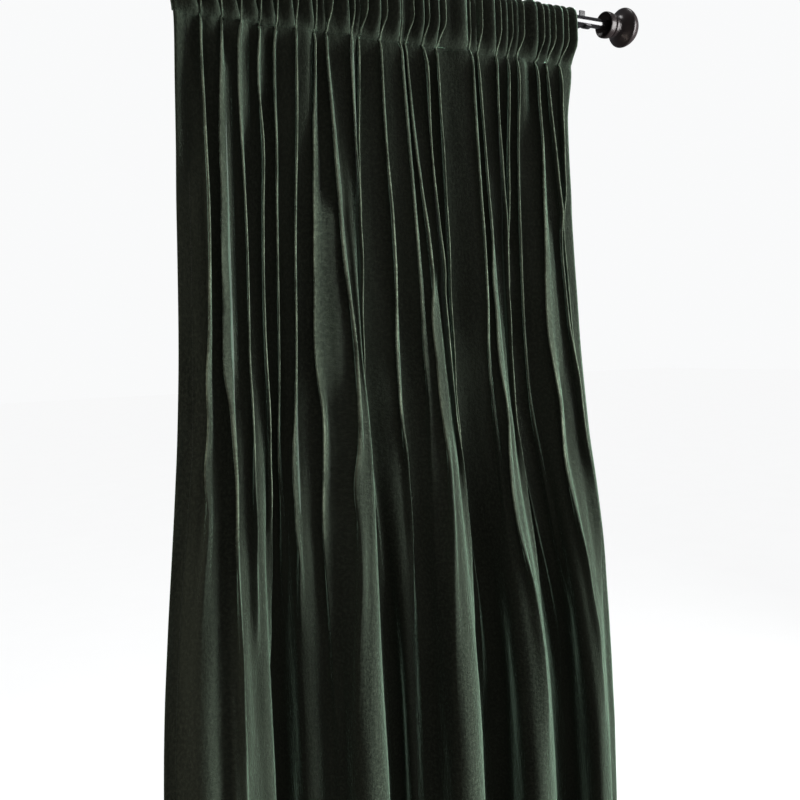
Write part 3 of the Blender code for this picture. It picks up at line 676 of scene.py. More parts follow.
class Cloth:
    """Works out rows of points of the hanging cloth."""

    def __init__(self, settings):
        self.tucks = Tucks()
        self.columns = Columns(self.tucks, settings.column_spacing)
        self.crumple = settings.crumple
        self.pucker = settings.pucker
        self.fold_turns = self.tucks.flat_place([row[0] for row in FOLDS])
        self.broad = Ripples(3, 0.060, 0.45)
        self.fine = Ripples(11, 0.022, 0.12)
        self.puckers = Ripples(21, 0.010, 0.030)
        self.gathers = Ripples(17, 0.090, 1.0)
        self.fin_lean = Ripples(5, 0.035, 0.55)
        self.fin_depth = Ripples(8, 0.070, 0.16)
        self.draw = np.zeros(len(TUCKS))
        self.draw = self.sideways_draw()

    # ---- places in the base cloth, with the tucks taken in
    def base_places(self, opened):
        """Base place of each flat column, and of each tuck's middle."""
        tucks, columns = self.tucks, self.columns
        half_base = half_bases(tucks, opened)
        widths = tucks.flat_ends - tucks.flat_starts
        before = np.concatenate([[0.0], np.cumsum(2 * half_base)])
        starts = np.concatenate([[0.0], np.cumsum(widths[:-1])]) + before
        middles = starts[1:] - half_base
        gap = np.searchsorted(tucks.flat_centre, columns.flat)
        places = starts[gap] + columns.flat - tucks.flat_starts[gap]
        return places, middles, starts, starts + widths

    def tuck_shape(self, opened, fullness, lean):
        """Sideways place and height of every column inside a tuck; zero on the flats."""
        tucks, columns = self.tucks, self.columns
        number = np.maximum(columns.tuck, 0)
        half, depth = tucks.half[number], tucks.depth[number]
        part = opened[number]
        radius = LAYER_PITCH / 2
        turn = math.pi * radius / 2
        along = np.abs(columns.within) * half
        angle = np.minimum(along, turn) / radius
        wide = (1 - part) * radius + part * half
        shut_side = radius * np.sin(angle) * (1 + (wide / radius - 1) * along / half)
        shut_height = np.where(along < turn, half - turn + radius * np.cos(angle), half - along)
        shut_height = shut_height * np.sqrt(1 - np.minimum(part, 1.0) ** 2)
        open_side = np.abs(columns.within) * wide
        open_height = depth * np.sqrt(1 - np.minimum(part, 1.0) ** 2)
        open_height = open_height * 0.5 * (1 + np.cos(math.pi * columns.within))
        mix = ease((part - 0.05) / 0.55)
        side = np.sign(columns.within) * ((1 - mix) * shut_side + mix * open_side)
        height = ((1 - mix) * shut_height + mix * open_height) * fullness
        tilt = lean[number] * (1 - mix) * ease(height / TUCK_ROOT)
        side, height = (side * np.cos(tilt) + height * np.sin(tilt),
                        height * np.cos(tilt) - side * np.sin(tilt))
        return np.where(columns.in_tuck, side, 0.0), np.where(columns.in_tuck, height, 0.0)

    def turned_flats(self, below_seam):
        """How far the cloth stands out where some flats turn to the right, at each column."""
        tucks, columns = self.tucks, self.columns
        fine = np.linspace(0.0, tucks.flat_width, TURN_STEPS)
        shut = 1.0 - ease((below_seam - tucks.length + 0.10) / 0.25)
        widths = tucks.flat_ends - tucks.flat_starts
        rise = math.tan(math.radians(FLAT_TURN)) * ease((below_seam + 0.02) / 0.05)
        gap = np.searchsorted(tucks.flat_centre, fine)
        near = np.minimum(gap, len(TUCKS) - 1)
        on_flat = (fine >= tucks.flat_starts[gap]) & (fine <= tucks.flat_ends[gap])
        tuck = np.where(on_flat, near, np.abs(fine[:, None] - tucks.flat_centre).argmin(axis=1))
        back = -rise * shut[tuck] * widths[tuck] / (2 * tucks.half[tuck])
        slope = np.where(on_flat, rise * shut[near], back)
        slope = np.where(gap == len(TUCKS), 0.0, slope)
        for number, start, end, top, foot, turn in TURNED_FLATS:
            fade = ease((below_seam - top) / 0.06) * ease((foot - below_seam) / 0.10)
            if fade == 0.0:
                continue
            edge = tucks.flat_starts[number + 1]
            inside = (fine - edge - start) / (end - start)
            hump = np.where((inside > 0) & (inside < 1), np.sin(math.pi * np.clip(inside, 0, 1)), 0.0)
            slope = slope * (1 - fade * (hump > 0)) - math.tan(math.radians(turn)) * fade * hump ** 0.6
        out = np.cumsum(slope) * (fine[1] - fine[0])
        away = np.linspace(-LEVELLING_REACH, LEVELLING_REACH, 2 * LEVELLING_STEPS + 1)
        wide = np.exp(-0.5 * (away / LEVELLING) ** 2)
        padded = np.pad(out, LEVELLING_STEPS, mode="edge")
        out = out - np.convolve(padded, wide / wide.sum(), mode="valid")
        at_columns = np.interp(columns.flat, fine, out)
        # both layers of a stitched tuck stand on its left foot
        at_left_foot = np.interp(tucks.flat_ends[:-1], fine, out)
        number = np.maximum(columns.tuck, 0)
        together = np.where(columns.in_tuck & (columns.within < 0.99), shut[number], 0.0)
        return at_columns + together * (at_left_foot[number] - at_columns)

    def hanging_row(self, below_seam):
        """One row of the cloth below the seam, as points."""
        tucks, columns = self.tucks, self.columns
        opened = opening(tucks, below_seam)
        places, middles, gap_starts, gap_ends = self.base_places(opened)
        fullness = SEAM_FULLNESS + (1 - SEAM_FULLNESS) * ease(below_seam / FULL_LEVEL) ** 0.6
        fullness *= 1 + 0.10 * self.fin_depth.at(tucks.flat_centre, below_seam)[np.maximum(columns.tuck, 0)]
        lean = np.radians(TUCK_LEAN + TUCK_LEAN_VARIES * self.fin_lean.at(tucks.flat_centre, below_seam))
        for number, start, end, top, foot, turn in TURNED_FLATS:
            if number >= 0 and start < TURN_AT_TUCK:
                fade = ease((below_seam - top) / 0.14) * ease((foot - below_seam) / 0.14)
                lean[number] += (math.radians(LAID_OVER) - lean[number]) * fade
        side, height = self.tuck_shape(opened, fullness, lean)
        across, y_turn = fold_places(below_seam)
        knots = np.ravel(np.column_stack([gap_starts, gap_ends]))
        flats = np.ravel(np.column_stack([tucks.flat_starts, tucks.flat_ends]))
        turn_base = np.interp(self.fold_turns, flats, knots)
        share = np.linspace(0.0, 1.0, 25)
        path = []
        for number in range(len(FOLDS) - 1):
            start = (across[number], y_turn[number])
            end = (across[number + 1], y_turn[number + 1])
            x, y, heading = half_wave(start, end, share)
            base = turn_base[number] + share * (turn_base[number + 1] - turn_base[number])
            path.append(np.column_stack([base, x, y, heading])[:-1 if number < len(FOLDS) - 2 else None])
        path = np.concatenate(path)
        own = np.where(columns.in_tuck, middles[np.maximum(columns.tuck, 0)], places) + side
        x = np.interp(own, path[:, 0], path[:, 1])
        y = np.interp(own, path[:, 0], path[:, 2])
        heading = np.interp(own, path[:, 0], path[:, 3])
        height = height + self.relief(below_seam)
        points = np.empty((len(own), 3))
        points[:, 0] = CLOTH_LEFT + x + np.sin(heading) * height
        points[:, 1] = y - np.cos(heading) * height
        points[:, 2] = SEAM_Z - below_seam
        rising = np.minimum(below_seam / tucks.length, 1.0)
        falling = 1.0 - ease((below_seam - tucks.length) / (LOW_LEVEL - tucks.length))
        moved = np.concatenate([[0.0], self.draw * rising * falling, [0.0]])
        drawn = np.concatenate([[0.0], tucks.flat_centre, [tucks.flat_width]])
        points[:, 0] += np.interp(columns.flat, drawn, moved)
        return points

    def relief(self, below_seam):
        """Unevenness of the whole sheet at each column, standing out from the folds."""
        columns = self.columns
        soft = ease(below_seam / 0.05)
        out = self.crumple * soft * (0.7 * self.broad.at(columns.flat, below_seam)
                                     + 0.3 * self.fine.at(columns.flat, below_seam))
        near_seam = math.exp(-(below_seam / 0.022) ** 2)
        out = out + self.pucker * near_seam * self.puckers.at(columns.flat, below_seam)
        out = out + self.turned_flats(below_seam)
        out -= SEAM_GROOVE * np.exp(-(below_seam / SEAM_GROOVE_REACH) ** 2)
        # hems: twice the cloth, with a groove at their stitching
        edge = np.minimum(columns.flat, self.tucks.flat_width - columns.flat)
        foot = HEM_BELOW_SEAM - below_seam
        for inside, width in ((edge, SIDE_HEM), (foot, FOOT_HEM)):
            out = out + HEM_RISE * ease((width - inside) / 0.003 + 0.5)
            out = out - HEM_GROOVE * np.exp(-((inside - width) / 0.0025) ** 2)
        return out

    def sideways_draw(self):
        """How far each tuck is drawn across at its end, beyond where the folds put it."""
        drawn = []
        for number, (length, place) in enumerate(zip(self.tucks.length, self.tucks.at_end)):
            across = self.hanging_row(length)[self.columns.tuck == number, 0].mean()
            drawn.append(CLOTH_LEFT + place - across)
        return np.array(drawn)

    def pocket_rows(self, seam):
        """The rod pocket's rows: up the front from the seam, over the rod and down the back to the seam."""
        tucks, columns = self.tucks, self.columns
        front, back = ROD_Y - POCKET_RADIUS, ROD_Y + POCKET_RADIUS
        rows = []
        for share in POCKET_FRONT_ROWS:
            y = SEAM_Y + (front - SEAM_Y) * ease(share * 1.15)
            rows.append((y, SEAM_Z + share * (ROD_Z - SEAM_Z), -1.0, 0.0, share))
        for step in range(POCKET_ROD_STEPS + 1):
            angle = math.pi * step / POCKET_ROD_STEPS
            rows.append((ROD_Y - POCKET_RADIUS * math.cos(angle), ROD_Z + POCKET_RADIUS * math.sin(angle),
                         -math.cos(angle), math.sin(angle), 1.0 + step / POCKET_ROD_STEPS))
        for share in POCKET_BACK_ROWS:
            y = SEAM_Y + POCKET_BACK_GAP + (back - SEAM_Y) * ease(share * 1.1)
            rows.append((y, SEAM_Z + share * (ROD_Z - SEAM_Z), 1.0, 0.0, 3.0 - share))
        result = []
        size = 1.0 + 0.22 * self.gathers.at(tucks.flat_centre, 0.0)
        lean = np.radians(26.0 + 14.0 * self.gathers.at(tucks.flat_centre, 1.0))
        for y, z, out_y, out_z, round_rod in rows:
            from_seam = min(round_rod, 3.0 - round_rod)
            loose = float(ease(from_seam / 0.50) ** 0.8)
            opened = 0.02 + 0.50 * loose * np.clip(size, 0.7, 1.2)
            places, middles, starts, ends = self.base_places(opened)
            over_rod = math.exp(-((round_rod - 1.5) / 0.40) ** 2)
            fullness = (SEAM_FULLNESS + (1 - SEAM_FULLNESS) * loose) * (1.0 - 0.42 * over_rod) * 0.86
            side, height = self.tuck_shape(opened, fullness, np.zeros(len(TUCKS)))
            number = np.maximum(columns.tuck, 0)
            height = height * size[number]
            side = side + np.where(columns.in_tuck, height * np.tan(lean[number]) * loose, 0.0)
            own = np.where(columns.in_tuck, middles[number], places) + side
            wide = own / ends[-1] * (SEAM_WIDTH + 2 * POCKET_SPREAD) - POCKET_SPREAD + POCKET_LEAN
            filled = 0.45 * float(ease(from_seam / 0.10)) + 0.55 * loose
            billow = filled * (1.0 - 0.5 * over_rod) * self.billow()
            near_seam = math.exp(-(from_seam / 0.30) ** 2)
            crease = self.pucker * near_seam * self.puckers.at(columns.flat, -from_seam * 0.09)
            crease = crease + 0.0008 * loose * self.fine.at(columns.flat, -round_rod * 0.05)
            points = np.empty((len(own), 3))
            points[:, 0] = (1 - loose) * seam[:, 0] + loose * (CLOTH_LEFT + wide)
            points[:, 1] = y + out_y * (height + billow + crease)
            points[:, 2] = z + out_z * (height + billow + crease)
            result.append(points)
        return result

    def billow(self):
        """How far the cloth between two gathers swells out, fullest towards its right side."""
        tucks, columns = self.tucks, self.columns
        gap = np.searchsorted(tucks.flat_centre, columns.flat)
        widths = tucks.flat_ends - tucks.flat_starts
        share = np.clip((columns.flat - tucks.flat_starts[gap]) / widths[gap], 0.0, 1.0)
        swell = np.minimum(BILLOW_SHARE * widths[gap], BILLOW_MOST)
        return np.where(columns.in_tuck, 0.0, swell * np.sin(math.pi * share ** 2.2))


def hanging_levels():
    """Levels of the rows below the seam: close at the seam, where tucks end, and at the lower hem."""
    levels = [0.0, 0.004, 0.010, 0.018, 0.028, 0.040, 0.055, 0.072, 0.090]
    for step, until in ((0.018, 0.50), (0.015, 0.86), (0.026, HEM_BELOW_SEAM - FOOT_HEM - 0.012)):
        while levels[-1] + step < until:
            levels.append(levels[-1] + step)
    foot = HEM_BELOW_SEAM - FOOT_HEM
    return levels + [foot - 0.004, foot, foot + 0.004, foot + 0.027, foot + 0.053, HEM_BELOW_SEAM]


def build_velvet_panel(settings):
    """The sheet of velvet with its thickness, and the rows of points that the stitches are laid on."""
    cloth = Cloth(settings)
    levels = hanging_levels()
    hanging = [cloth.hanging_row(level) for level in levels]
    pocket = cloth.pocket_rows(hanging[0])[::-1]
    rows = np.array(pocket + hanging)
    down = np.concatenate([-POCKET_ROW_STEP * np.arange(len(pocket), 0, -1), levels])
    count_down, count_across = rows.shape[:2]
    index = np.arange(count_down * count_across).reshape(count_down, count_across)
    quads = np.stack([index[:-1, :-1], index[1:, :-1], index[1:, 1:], index[:-1, 1:]], axis=-1)
    quads = quads.reshape(-1, 4)
    mesh = bpy.data.meshes.new("velvet_panel")
    mesh.from_pydata(rows.reshape(-1, 3).tolist(), [], quads.tolist())
    mesh.shade_smooth()
    # the flat cloth as the UV map, in metres
    across, below = np.meshgrid(cloth.columns.flat, down)
    flat = np.stack([across.ravel(), -below.ravel()], axis=-1)
    uv = mesh.uv_layers.new(name="flat_cloth")
    corners = np.empty(len(mesh.loops), dtype=np.int32)
    mesh.loops.foreach_get("vertex_index", corners)
    uv.data.foreach_set("uv", flat[corners].ravel())
    # share of the painted highlight on the tucks' tips, read by the velvet's colour
    edge = mesh.attributes.new("folded_edge", "FLOAT", "POINT")
    edge.data.foreach_set("value", edge_highlights(cloth, down).ravel())
    panel = link_object("velvet_panel", mesh, velvet_material(settings), backing_material(settings))
    thickness = panel.modifiers.new("thickness", "SOLIDIFY")
    thickness.thickness = settings.thickness
    thickness.offset = 0.0
    thickness.material_offset = 1
    made_plain(panel)
    return panel, cloth, rows, down


def edge_highlights(cloth, down):
    """Share of the painted highlight, with parted pile, over a sharp fold: 1 on the tip of a stitched tuck, 0
    on flat cloth.
    """
    columns, tucks = cloth.columns, cloth.tucks
    number = np.maximum(columns.tuck, 0)
    along = np.abs(columns.within) * tucks.half[number]
    tip = np.where(columns.in_tuck, np.exp(-(along / HIGHLIGHT_WIDTH) ** 2), 0.0)
    rows = []
    for level in down:
        below_pocket = HIGHLIGHT_IN_POCKET + (1 - HIGHLIGHT_IN_POCKET) * ease((level + 0.006) / 0.006)
        stitched = 1 - ease((level - tucks.length[number]) / 0.10)
        rows.append(tip * (below_pocket * stitched))
    return np.stack(rows)


# ================================================================ stitches
def stitch_tree():
    """Geometry Nodes: stitches laid along paths that carry the direction they face."""
    tree = bpy.data.node_groups.new("stitches_along_paths", "GeometryNodeTree")
    face = tree.interface
    face.new_socket("Paths", in_out="INPUT", socket_type="NodeSocketGeometry")
    for name, default in (("Pitch", STITCH_PITCH), ("Length", STITCH_LENGTH), ("Radius", THREAD_RADIUS)):
        socket = face.new_socket(name, in_out="INPUT", socket_type="NodeSocketFloat")
        socket.default_value = default
        socket.subtype = "DISTANCE"
    face.new_socket("Seed", in_out="INPUT", socket_type="NodeSocketInt")
    face.new_socket("Material", in_out="INPUT", socket_type="NodeSocketMaterial")
    face.new_socket("Stitches", in_out="OUTPUT", socket_type="NodeSocketGeometry")
    nodes, links = tree.nodes, tree.links
    start, end = nodes.new("NodeGroupInput"), nodes.new("NodeGroupOutput")
    curve = nodes.new("GeometryNodeMeshToCurve")
    spaced = nodes.new("GeometryNodeResampleCurve")
    spaced.mode = "LENGTH"
    tangent = nodes.new("GeometryNodeInputTangent")
    facing = nodes.new("GeometryNodeInputNamedAttribute")
    facing.data_type = "FLOAT_VECTOR"
    facing.inputs["Name"].default_value = "facing"
    turn = nodes.new("FunctionNodeAxesToRotation")
    turn.primary_axis, turn.secondary_axis = "Z", "X"
    thread = nodes.new("GeometryNodeMeshCylinder")
    thread.fill_type = "TRIANGLE_FAN"
    thread.inputs["Vertices"].default_value = 5
    thread.inputs["Side Segments"].default_value = 1
    uneven = nodes.new("FunctionNodeRandomValue")
    uneven.data_type = "FLOAT_VECTOR"
    uneven.inputs["Min"].default_value = (0.9, 0.9, 0.85)
    uneven.inputs["Max"].default_value = (1.15, 1.15, 1.05)
    scatter = nodes.new("GeometryNodeInstanceOnPoints")
    real = nodes.new("GeometryNodeRealizeInstances")
    finish = nodes.new("GeometryNodeSetMaterial")
    for source, target in (
            (start.outputs["Paths"], curve.inputs["Mesh"]),
            (curve.outputs["Curve"], spaced.inputs["Curve"]),
            (start.outputs["Pitch"], spaced.inputs["Length"]),
            (spaced.outputs["Curve"], scatter.inputs["Points"]),
            (tangent.outputs["Tangent"], turn.inputs["Primary Axis"]),
            (facing.outputs["Attribute"], turn.inputs["Secondary Axis"]),
            (turn.outputs["Rotation"], scatter.inputs["Rotation"]),
            (start.outputs["Radius"], thread.inputs["Radius"]),
            (start.outputs["Length"], thread.inputs["Depth"]),
            (thread.outputs["Mesh"], scatter.inputs["Instance"]),
            (start.outputs["Seed"], uneven.inputs["Seed"]),
            (uneven.outputs["Value"], scatter.inputs["Scale"]),
            (scatter.outputs["Instances"], real.inputs["Geometry"]),
            (real.outputs["Geometry"], finish.inputs["Geometry"]),
            (start.outputs["Material"], finish.inputs["Material"]),
            (finish.outputs["Geometry"], end.inputs["Stitches"])):
        links.new(source, target)
    return tree


def build_stitches(name, paths, tree, settings, thread):
    """One piece of stitches along the given paths, each a list of points and the directions they face."""
    points = np.concatenate([path for path, _ in paths])
    facings = np.concatenate([facing for _, facing in paths])
    edges, first = [], 0
    for path, _ in paths:
        edges += [(first + number, first + number + 1) for number in range(len(path) - 1)]
        first += len(path)
    mesh = bpy.data.meshes.new(name)
    mesh.from_pydata(points.tolist(), edges, [])
    attribute = mesh.attributes.new("facing", "FLOAT_VECTOR", "POINT")
    attribute.data.foreach_set("vector", facings.ravel())
    piece = link_object(name, mesh)
    modifier = piece.modifiers.new("stitches", "NODES")
    modifier.node_group = tree
    values = {"Pitch": settings.pitch, "Length": settings.length, "Radius": settings.radius,
              "Seed": settings.seed, "Material": thread}
    for socket in tree.interface.items_tree:
        if socket.item_type == "SOCKET" and socket.name in values:
            modifier[socket.identifier] = values[socket.name]
    return made_plain(piece)


class ClothSurface:
    """The cloth's rows, with the direction that its outer side faces, for laying stitches on it."""

    def __init__(self, cloth, rows, down, thickness):
        self.cloth, self.rows, self.down = cloth, rows, down
        self.stand_off = thickness / 2 + STITCH_STAND_OFF
        facing = np.cross(np.gradient(rows, axis=0), np.gradient(rows, axis=1))
        self.facing = facing / np.linalg.norm(facing, axis=2, keepdims=True)

    def path(self, points, facings):
        facings = facings / np.linalg.norm(facings, axis=-1, keepdims=True)
        return points + facings * self.stand_off, facings

    def along_row(self, number, first, last):
        """Path along one row, from one column to another."""
        part = slice(first, last + 1)
        return self.path(self.rows[number, part], self.facing[number, part])

    def down_column(self, at_flat, rows):
        """Path down the cloth at one place in its width."""
        flat = self.cloth.columns.flat
        right = int(np.clip(np.searchsorted(flat, at_flat), 1, len(flat) - 1))
        share = (at_flat - flat[right - 1]) / (flat[right] - flat[right - 1])
        points = (1 - share) * self.rows[rows, right - 1] + share * self.rows[rows, right]
        across = self.rows[rows, right] - self.rows[rows, right - 1]
        facings = np.cross(np.gradient(points, axis=0), across)
        return self.path(points, facings)


def seam_and_hem_paths(surface):
    """The seam under the pocket between the tucks, the side hems and the foot hem."""
    cloth, down = surface.cloth, surface.down
    columns = cloth.columns
    seam = int(np.argmin(np.abs(down)))
    foot = int(np.argmin(np.abs(down - (HEM_BELOW_SEAM - FOOT_HEM))))
    paths = []
    for number in range(len(TUCKS) + 1):
        inside = np.flatnonzero((columns.flat > cloth.tucks.flat_starts[number] - 1e-6)
                                & (columns.flat < cloth.tucks.flat_ends[number] + 1e-6))
        paths.append(surface.along_row(seam, inside[0], inside[-1]))
    paths.append(surface.along_row(foot, 0, len(columns.flat) - 1))
    below = np.arange(seam + 1, len(down))
    for place in (SIDE_HEM, cloth.tucks.flat_width - SIDE_HEM):
        paths.append(surface.down_column(place, below))
    return paths


def tuck_paths(surface):
    """Both sides of each tuck's foot, down to where its stitching ends."""
    tucks, down = surface.cloth.tucks, surface.down
    paths = []
    for centre, half, length in zip(tucks.flat_centre, tucks.half, tucks.length):
        rows = np.flatnonzero((down > 0.004) & (down < length))
        for side in (-1.0, 1.0):
            paths.append(surface.down_column(centre + side * (half - TUCK_STITCH_IN), rows))
    return paths


# ================================================================ hard pieces
def rounded(profile, steps=4):
    """The profile with a smooth curve through its points (radius, height)."""
    knots = np.array(profile)
    knots = np.vstack([2 * knots[0] - knots[1], knots, 2 * knots[-1] - knots[-2]])
    share = np.linspace(0.0, 1.0, steps, endpoint=False)[:, None]
    curve = []
    for before, start, end, after in zip(knots, knots[1:], knots[2:], knots[3:]):
        curve.append(0.5 * (2 * start + (end - before) * share
                            + (2 * before - 5 * start + 4 * end - after) * share ** 2
                            + (3 * start - before - 3 * end + after) * share ** 3))
    return [*np.concatenate(curve).tolist(), list(profile[-1])]


def turned_piece(name, profile, place, material, steps, smooth_angle=38.0):
    """A turned piece: a closed profile of (radius, height) from top to bottom round Z, moved to its place."""
    shape = bmesh.new()
    rings = []
    for radius, height in profile:
        if radius < 1e-6:
            rings.append([shape.verts.new((0.0, 0.0, height))])
            continue
        angles = np.arange(steps) * 2 * math.pi / steps
        rings.append([shape.verts.new((radius * math.cos(angle), radius * math.sin(angle), height))
                      for angle in angles])
    for upper, lower in zip(rings, rings[1:]):
        for step in range(steps):
            after = (step + 1) % steps
            corners = [upper[0], lower[step], lower[after]] if len(upper) == 1 else \
                [upper[step], lower[0], upper[after]] if len(lower) == 1 else \
                [upper[step], lower[step], lower[after], upper[after]]
            shape.faces.new(corners)
    shape.normal_update()
    mesh = bpy.data.meshes.new(name)
    shape.to_mesh(mesh)
    shape.free()
    mesh.transform(place)
    mesh.shade_smooth()
    mesh.set_sharp_from_angle(angle=math.radians(smooth_angle))
    return link_object(name, mesh, material)


def carry_over(node, name, material, smooth_angle=32.0):
    """A copy of a frame node with its triangles joined and its round faces shaded smooth."""
    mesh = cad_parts[node].data.copy()
    shape = bmesh.new()
    shape.from_mesh(mesh)
    bmesh.ops.remove_doubles(shape, verts=shape.verts, dist=0.00001)
    shape.to_mesh(mesh)
    shape.free()
    mesh.shade_smooth()
    mesh.set_sharp_from_angle(angle=math.radians(smooth_angle))
    return link_object(name, mesh, material)


def hand_over(piece, node):
    """Puts the piece in place of its frame node."""
    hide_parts(node)
    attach(piece, "root")


def build_rod(material, steps):
    """The rod, with its ends' edges broken."""
    radius, edge = ROD_RADIUS, ROD_EDGE
    length = ROD_HIGH[0] - ROD_LOW[0]
    profile = [(0.0, length), (radius - edge, length), (radius, length - edge), (radius, edge),
               (radius - edge, 0.0), (0.0, 0.0)]
    place = Matrix.Translation((ROD_LOW[0], ROD_Y, ROD_Z)) @ Matrix.Rotation(math.pi / 2, 4, "Y")
    piece = turned_piece("polished_rod", profile, place, material, steps)
    hand_over(piece, "rod")


def build_finial(side, material, steps):
    """Collar and knob, turned finer than the frame's."""
    outward = 1.0 if side == "right" else -1.0
    low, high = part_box(f"finial_collar_{side}")
    mouth = low[0] if side == "right" else high[0]
    place = Matrix.Translation((mouth, ROD_Y, ROD_Z)) @ Matrix.Rotation(outward * math.pi / 2, 4, "Y")
    seat = (ROD_HIGH[0] - mouth if side == "right" else mouth - ROD_LOW[0]) + TOUCH_GAP
    collar = [(0.0, COLLAR_TOP), *rounded(COLLAR_OUTSIDE), (BORE_RADIUS, seat), (0.0, seat)]
    knob = [(radius, height + COLLAR_TOP + TOUCH_GAP) for radius, height in rounded(KNOB_OUTSIDE)]
    for label, profile in (("collar", collar), ("knob", [*knob, (0.0, COLLAR_TOP + TOUCH_GAP)])):
        piece = turned_piece(f"turned_{label}_{side}", profile, place, material, steps)
        hand_over(piece, f"finial_{label}_{side}")


def build_screw(node, material, steps):
    """Countersunk screw head with a cross recess."""
    low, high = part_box(node)
    radius, depth = (high[0] - low[0]) / 2, high[1] - low[1]
    middle = ((low[0] + high[0]) / 2, low[1], (low[2] + high[2]) / 2)
    place = Matrix.Translation(middle) @ Matrix.Rotation(math.pi / 2, 4, "X")
    profile = [(0.0, 0.0), (radius - SCREW_RIM, 0.0), (radius, -SCREW_RIM), (radius * 0.45, -depth),
               (0.0, -depth)]
    piece = turned_piece(node + "_head", profile, place, material, steps)
    for turn in (RECESS_TURN, RECESS_TURN + math.pi / 2):
        bpy.ops.mesh.primitive_cube_add(size=1.0)
        cutter = bpy.context.active_object
        cutter.data.transform(Matrix.Translation(middle) @ Matrix.Rotation(turn, 4, "Y")
                              @ Matrix.Diagonal((radius * 1.15, RECESS_DEPTH, RECESS_WIDTH, 1.0)))
        cut = piece.modifiers.new("recess", "BOOLEAN")
        cut.operation = "DIFFERENCE"
        cut.object = cutter
        made_plain(piece)
        bpy.data.objects.remove(cutter, do_unlink=True)
    hand_over(piece, node)


# ================================================================ the stage
def camera_matrix(stage):
    """The camera's place: turned to the right, tilted down and rolled."""
    turn = Euler((math.pi / 2 - stage.camera_tilt, 0.0, -stage.camera_turn), "XYZ").to_matrix().to_4x4()
    roll = Matrix.Rotation(-stage.camera_roll, 4, "Z")
    return Matrix.Translation(stage.camera_place) @ turn @ roll


def area_light(name, power, place, target, size, colour):
    data = bpy.data.lights.new(name, "AREA")
    data.shape = "RECTANGLE"
    data.size, data.size_y = size
    data.energy = power
    data.color = colour
    light = bpy.data.objects.new(name, data)
    bpy.context.scene.collection.objects.link(light)
    light.location = place
    light.rotation_euler = (Vector(target) - Vector(place)).to_track_quat("-Z", "Y").to_euler()
    return light


def build_world():
    """Pale surroundings for the camera that light the curtain only weakly, and darker ones in the metal."""
    world = bpy.data.worlds.new("pale_room")
    world.use_nodes = True
    nodes, links = world.node_tree.nodes, world.node_tree.links
    kind = nodes.new("ShaderNodeLightPath")
    last = nodes["Background"]
    last.inputs["Color"].default_value = (1.0, 0.84, 0.84, 1.0)
    last.inputs["Strength"].default_value = 0.80
    for ray, colour, strength in (("Is Glossy Ray", (0.92, 0.94, 1.0, 1.0), 0.16),
                                  ("Is Camera Ray", (*PALE, 1.0), 1.0)):
        shown = nodes.new("ShaderNodeBackground")
        shown.inputs["Color"].default_value = colour
        shown.inputs["Strength"].default_value = strength
        mix = nodes.new("ShaderNodeMixShader")
        links.new(kind.outputs[ray], mix.inputs["Fac"])
        links.new(last.outputs[0], mix.inputs[1])
        links.new(shown.outputs[0], mix.inputs[2])
        last = mix
    links.new(last.outputs[0], nodes["World Output"].inputs["Surface"])
    bpy.context.scene.world = world


# ================================================================ operators
class CURTAIN_OT_velvet_panel(Operator):
    """Make the velvet panel and its stitches"""

    bl_idname = "curtain.velvet_panel"
    bl_label = "Velvet Panel"

    def execute(self, context):
        settings = context.scene.curtain_settings
        panel, cloth, rows, down = build_velvet_panel(settings.cloth)
        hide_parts("curtain")
        surface = ClothSurface(cloth, rows, down, settings.cloth.thickness)
        tree, thread = stitch_tree(), thread_material(settings.cloth)
        pieces = [build_stitches(name, paths, tree, settings.stitch, thread) for name, paths in (
            ("seam_and_hem_stitches", seam_and_hem_paths(surface)), ("tuck_stitches", tuck_paths(surface)))]
        for piece in (panel, *pieces):
            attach(piece, "root")
        return {"FINISHED"}


class CURTAIN_OT_rod_and_brackets(Operator):
    """Make the rod, its brackets, wall plates and screws"""

    bl_idname = "curtain.rod_and_brackets"
    bl_label = "Rod and Brackets"

    def execute(self, context):
        metal = context.scene.curtain_settings.metal
        black = lacquered_metal("black_lacquer", metal.rod_colour, **BLACK_LACQUER)
        build_rod(black, metal.round_steps)
        for side in ("left", "right"):
            for node in (f"bracket_arm_{side}", f"wall_plate_{side}"):
                hand_over(carry_over(node, "finished_" + node, black), node)
            for level in ("upper", "lower"):
                build_screw(f"screw_{level}_{side}", black, metal.round_steps // 2)
        return {"FINISHED"}


class CURTAIN_OT_finials(Operator):
    """Make the finials"""

    bl_idname = "curtain.finials"
    bl_label = "Finials"

    def execute(self, context):
        metal = context.scene.curtain_settings.metal
        bronze = lacquered_metal("dark_bronze", metal.finial_colour, **DARK_BRONZE)
        for side in ("left", "right"):
            build_finial(side, bronze, metal.round_steps)
        return {"FINISHED"}


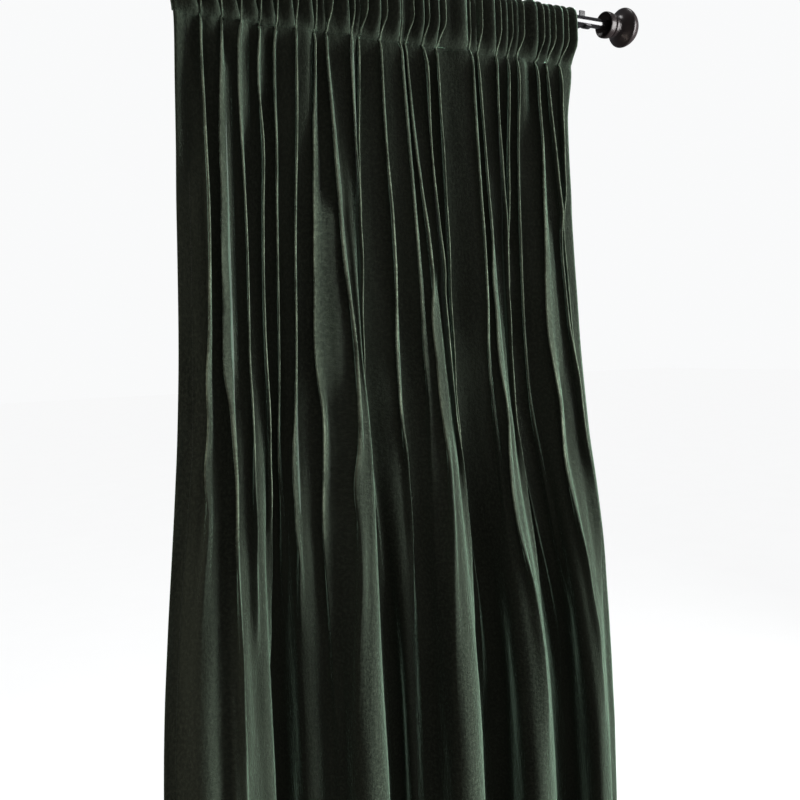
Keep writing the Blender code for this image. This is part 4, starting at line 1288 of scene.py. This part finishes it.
class CURTAIN_OT_stage(Operator):
    """Make the floor, the lights and the camera"""

    bl_idname = "curtain.stage"
    bl_label = "Stage"

    def execute(self, context):
        stage = context.scene.curtain_settings.stage
        camera_data = bpy.data.cameras.new("camera")
        camera_data.lens = stage.lens
        camera_data.sensor_width = 36.0
        camera_data.clip_start = 0.05
        camera = bpy.data.objects.new("camera", camera_data)
        context.scene.collection.objects.link(camera)
        camera.matrix_world = camera_matrix(stage)
        context.scene.camera = camera
        bpy.ops.mesh.primitive_plane_add(size=FLOOR_SIZE, location=(0.4, 0.0, HEM_Z - FLOOR_GAP))
        floor = context.active_object
        floor.name = "floor"
        nodes = Nodes("pale_floor")
        mottle = nodes.noise(nodes.coordinates(), 3.0, 4.0)
        nodes.join(nodes.mix_colour(mottle, scaled_colour(stage.floor_colour, 0.90), stage.floor_colour),
                   nodes.shader.inputs["Base Color"])
        nodes.constants(Roughness=0.9, Specular_IOR_Level=0.0, Emission_Color=(*PALE, 1.0),
                        Emission_Strength=0.80)
        floor.data.materials.append(nodes.material)
        floor.visible_diffuse = False
        floor.visible_glossy = False
        window = area_light("window_light", stage.key_power, *WINDOW_LIGHT)
        low = area_light("low_light", stage.low_power, *LOW_LIGHT)
        low.data.spread = math.radians(LOW_LIGHT_SPREAD)
        for light in (window, low):
            light.visible_glossy = False
        area_light("left_light", stage.left_power, *LEFT_LIGHT)
        shine = area_light("shine_light", stage.shine_power, *SHINE_LIGHT)
        shine.visible_diffuse = False
        above = bpy.data.lights.new("ceiling_light", "SUN")
        above.energy = CEILING_STRENGTH
        above.angle = math.radians(CEILING_ANGLE)
        context.scene.collection.objects.link(bpy.data.objects.new("ceiling_light", above))
        build_world()
        context.scene.view_settings.view_transform = "Standard"
        return {"FINISHED"}


class CURTAIN_PT_sidebar(Panel):
    """The curtain's settings and operators"""

    bl_idname = "CURTAIN_PT_sidebar"
    bl_label = "Velvet Curtain"
    bl_space_type = "VIEW_3D"
    bl_region_type = "UI"
    bl_category = "Curtain"

    def draw(self, context):
        settings = context.scene.curtain_settings
        for title, group, operator in (
                ("Cloth", settings.cloth, "curtain.velvet_panel"),
                ("Stitches", settings.stitch, None),
                ("Metal", settings.metal, "curtain.rod_and_brackets"),
                ("", None, "curtain.finials"),
                ("Stage", settings.stage, "curtain.stage")):
            box = self.layout.box()
            if title:
                box.label(text=title)
            if group:
                for name in group.__annotations__:
                    box.prop(group, name)
            if operator:
                box.operator(operator)


CLASSES = (
    CurtainClothSettings, CurtainStitchSettings, CurtainMetalSettings, CurtainStageSettings, CurtainSettings,
    CURTAIN_OT_velvet_panel, CURTAIN_OT_rod_and_brackets, CURTAIN_OT_finials, CURTAIN_OT_stage,
    CURTAIN_PT_sidebar,
)


def register():
    for item in CLASSES:
        bpy.utils.register_class(item)
    bpy.types.Scene.curtain_settings = PointerProperty(type=CurtainSettings)


def unregister():
    del bpy.types.Scene.curtain_settings
    for item in reversed(CLASSES):
        bpy.utils.unregister_class(item)


def main():
    register()
    bpy.ops.curtain.stage()
    bpy.ops.curtain.velvet_panel()
    bpy.ops.curtain.rod_and_brackets()
    bpy.ops.curtain.finials()


if __name__ == "__main__":
    main()
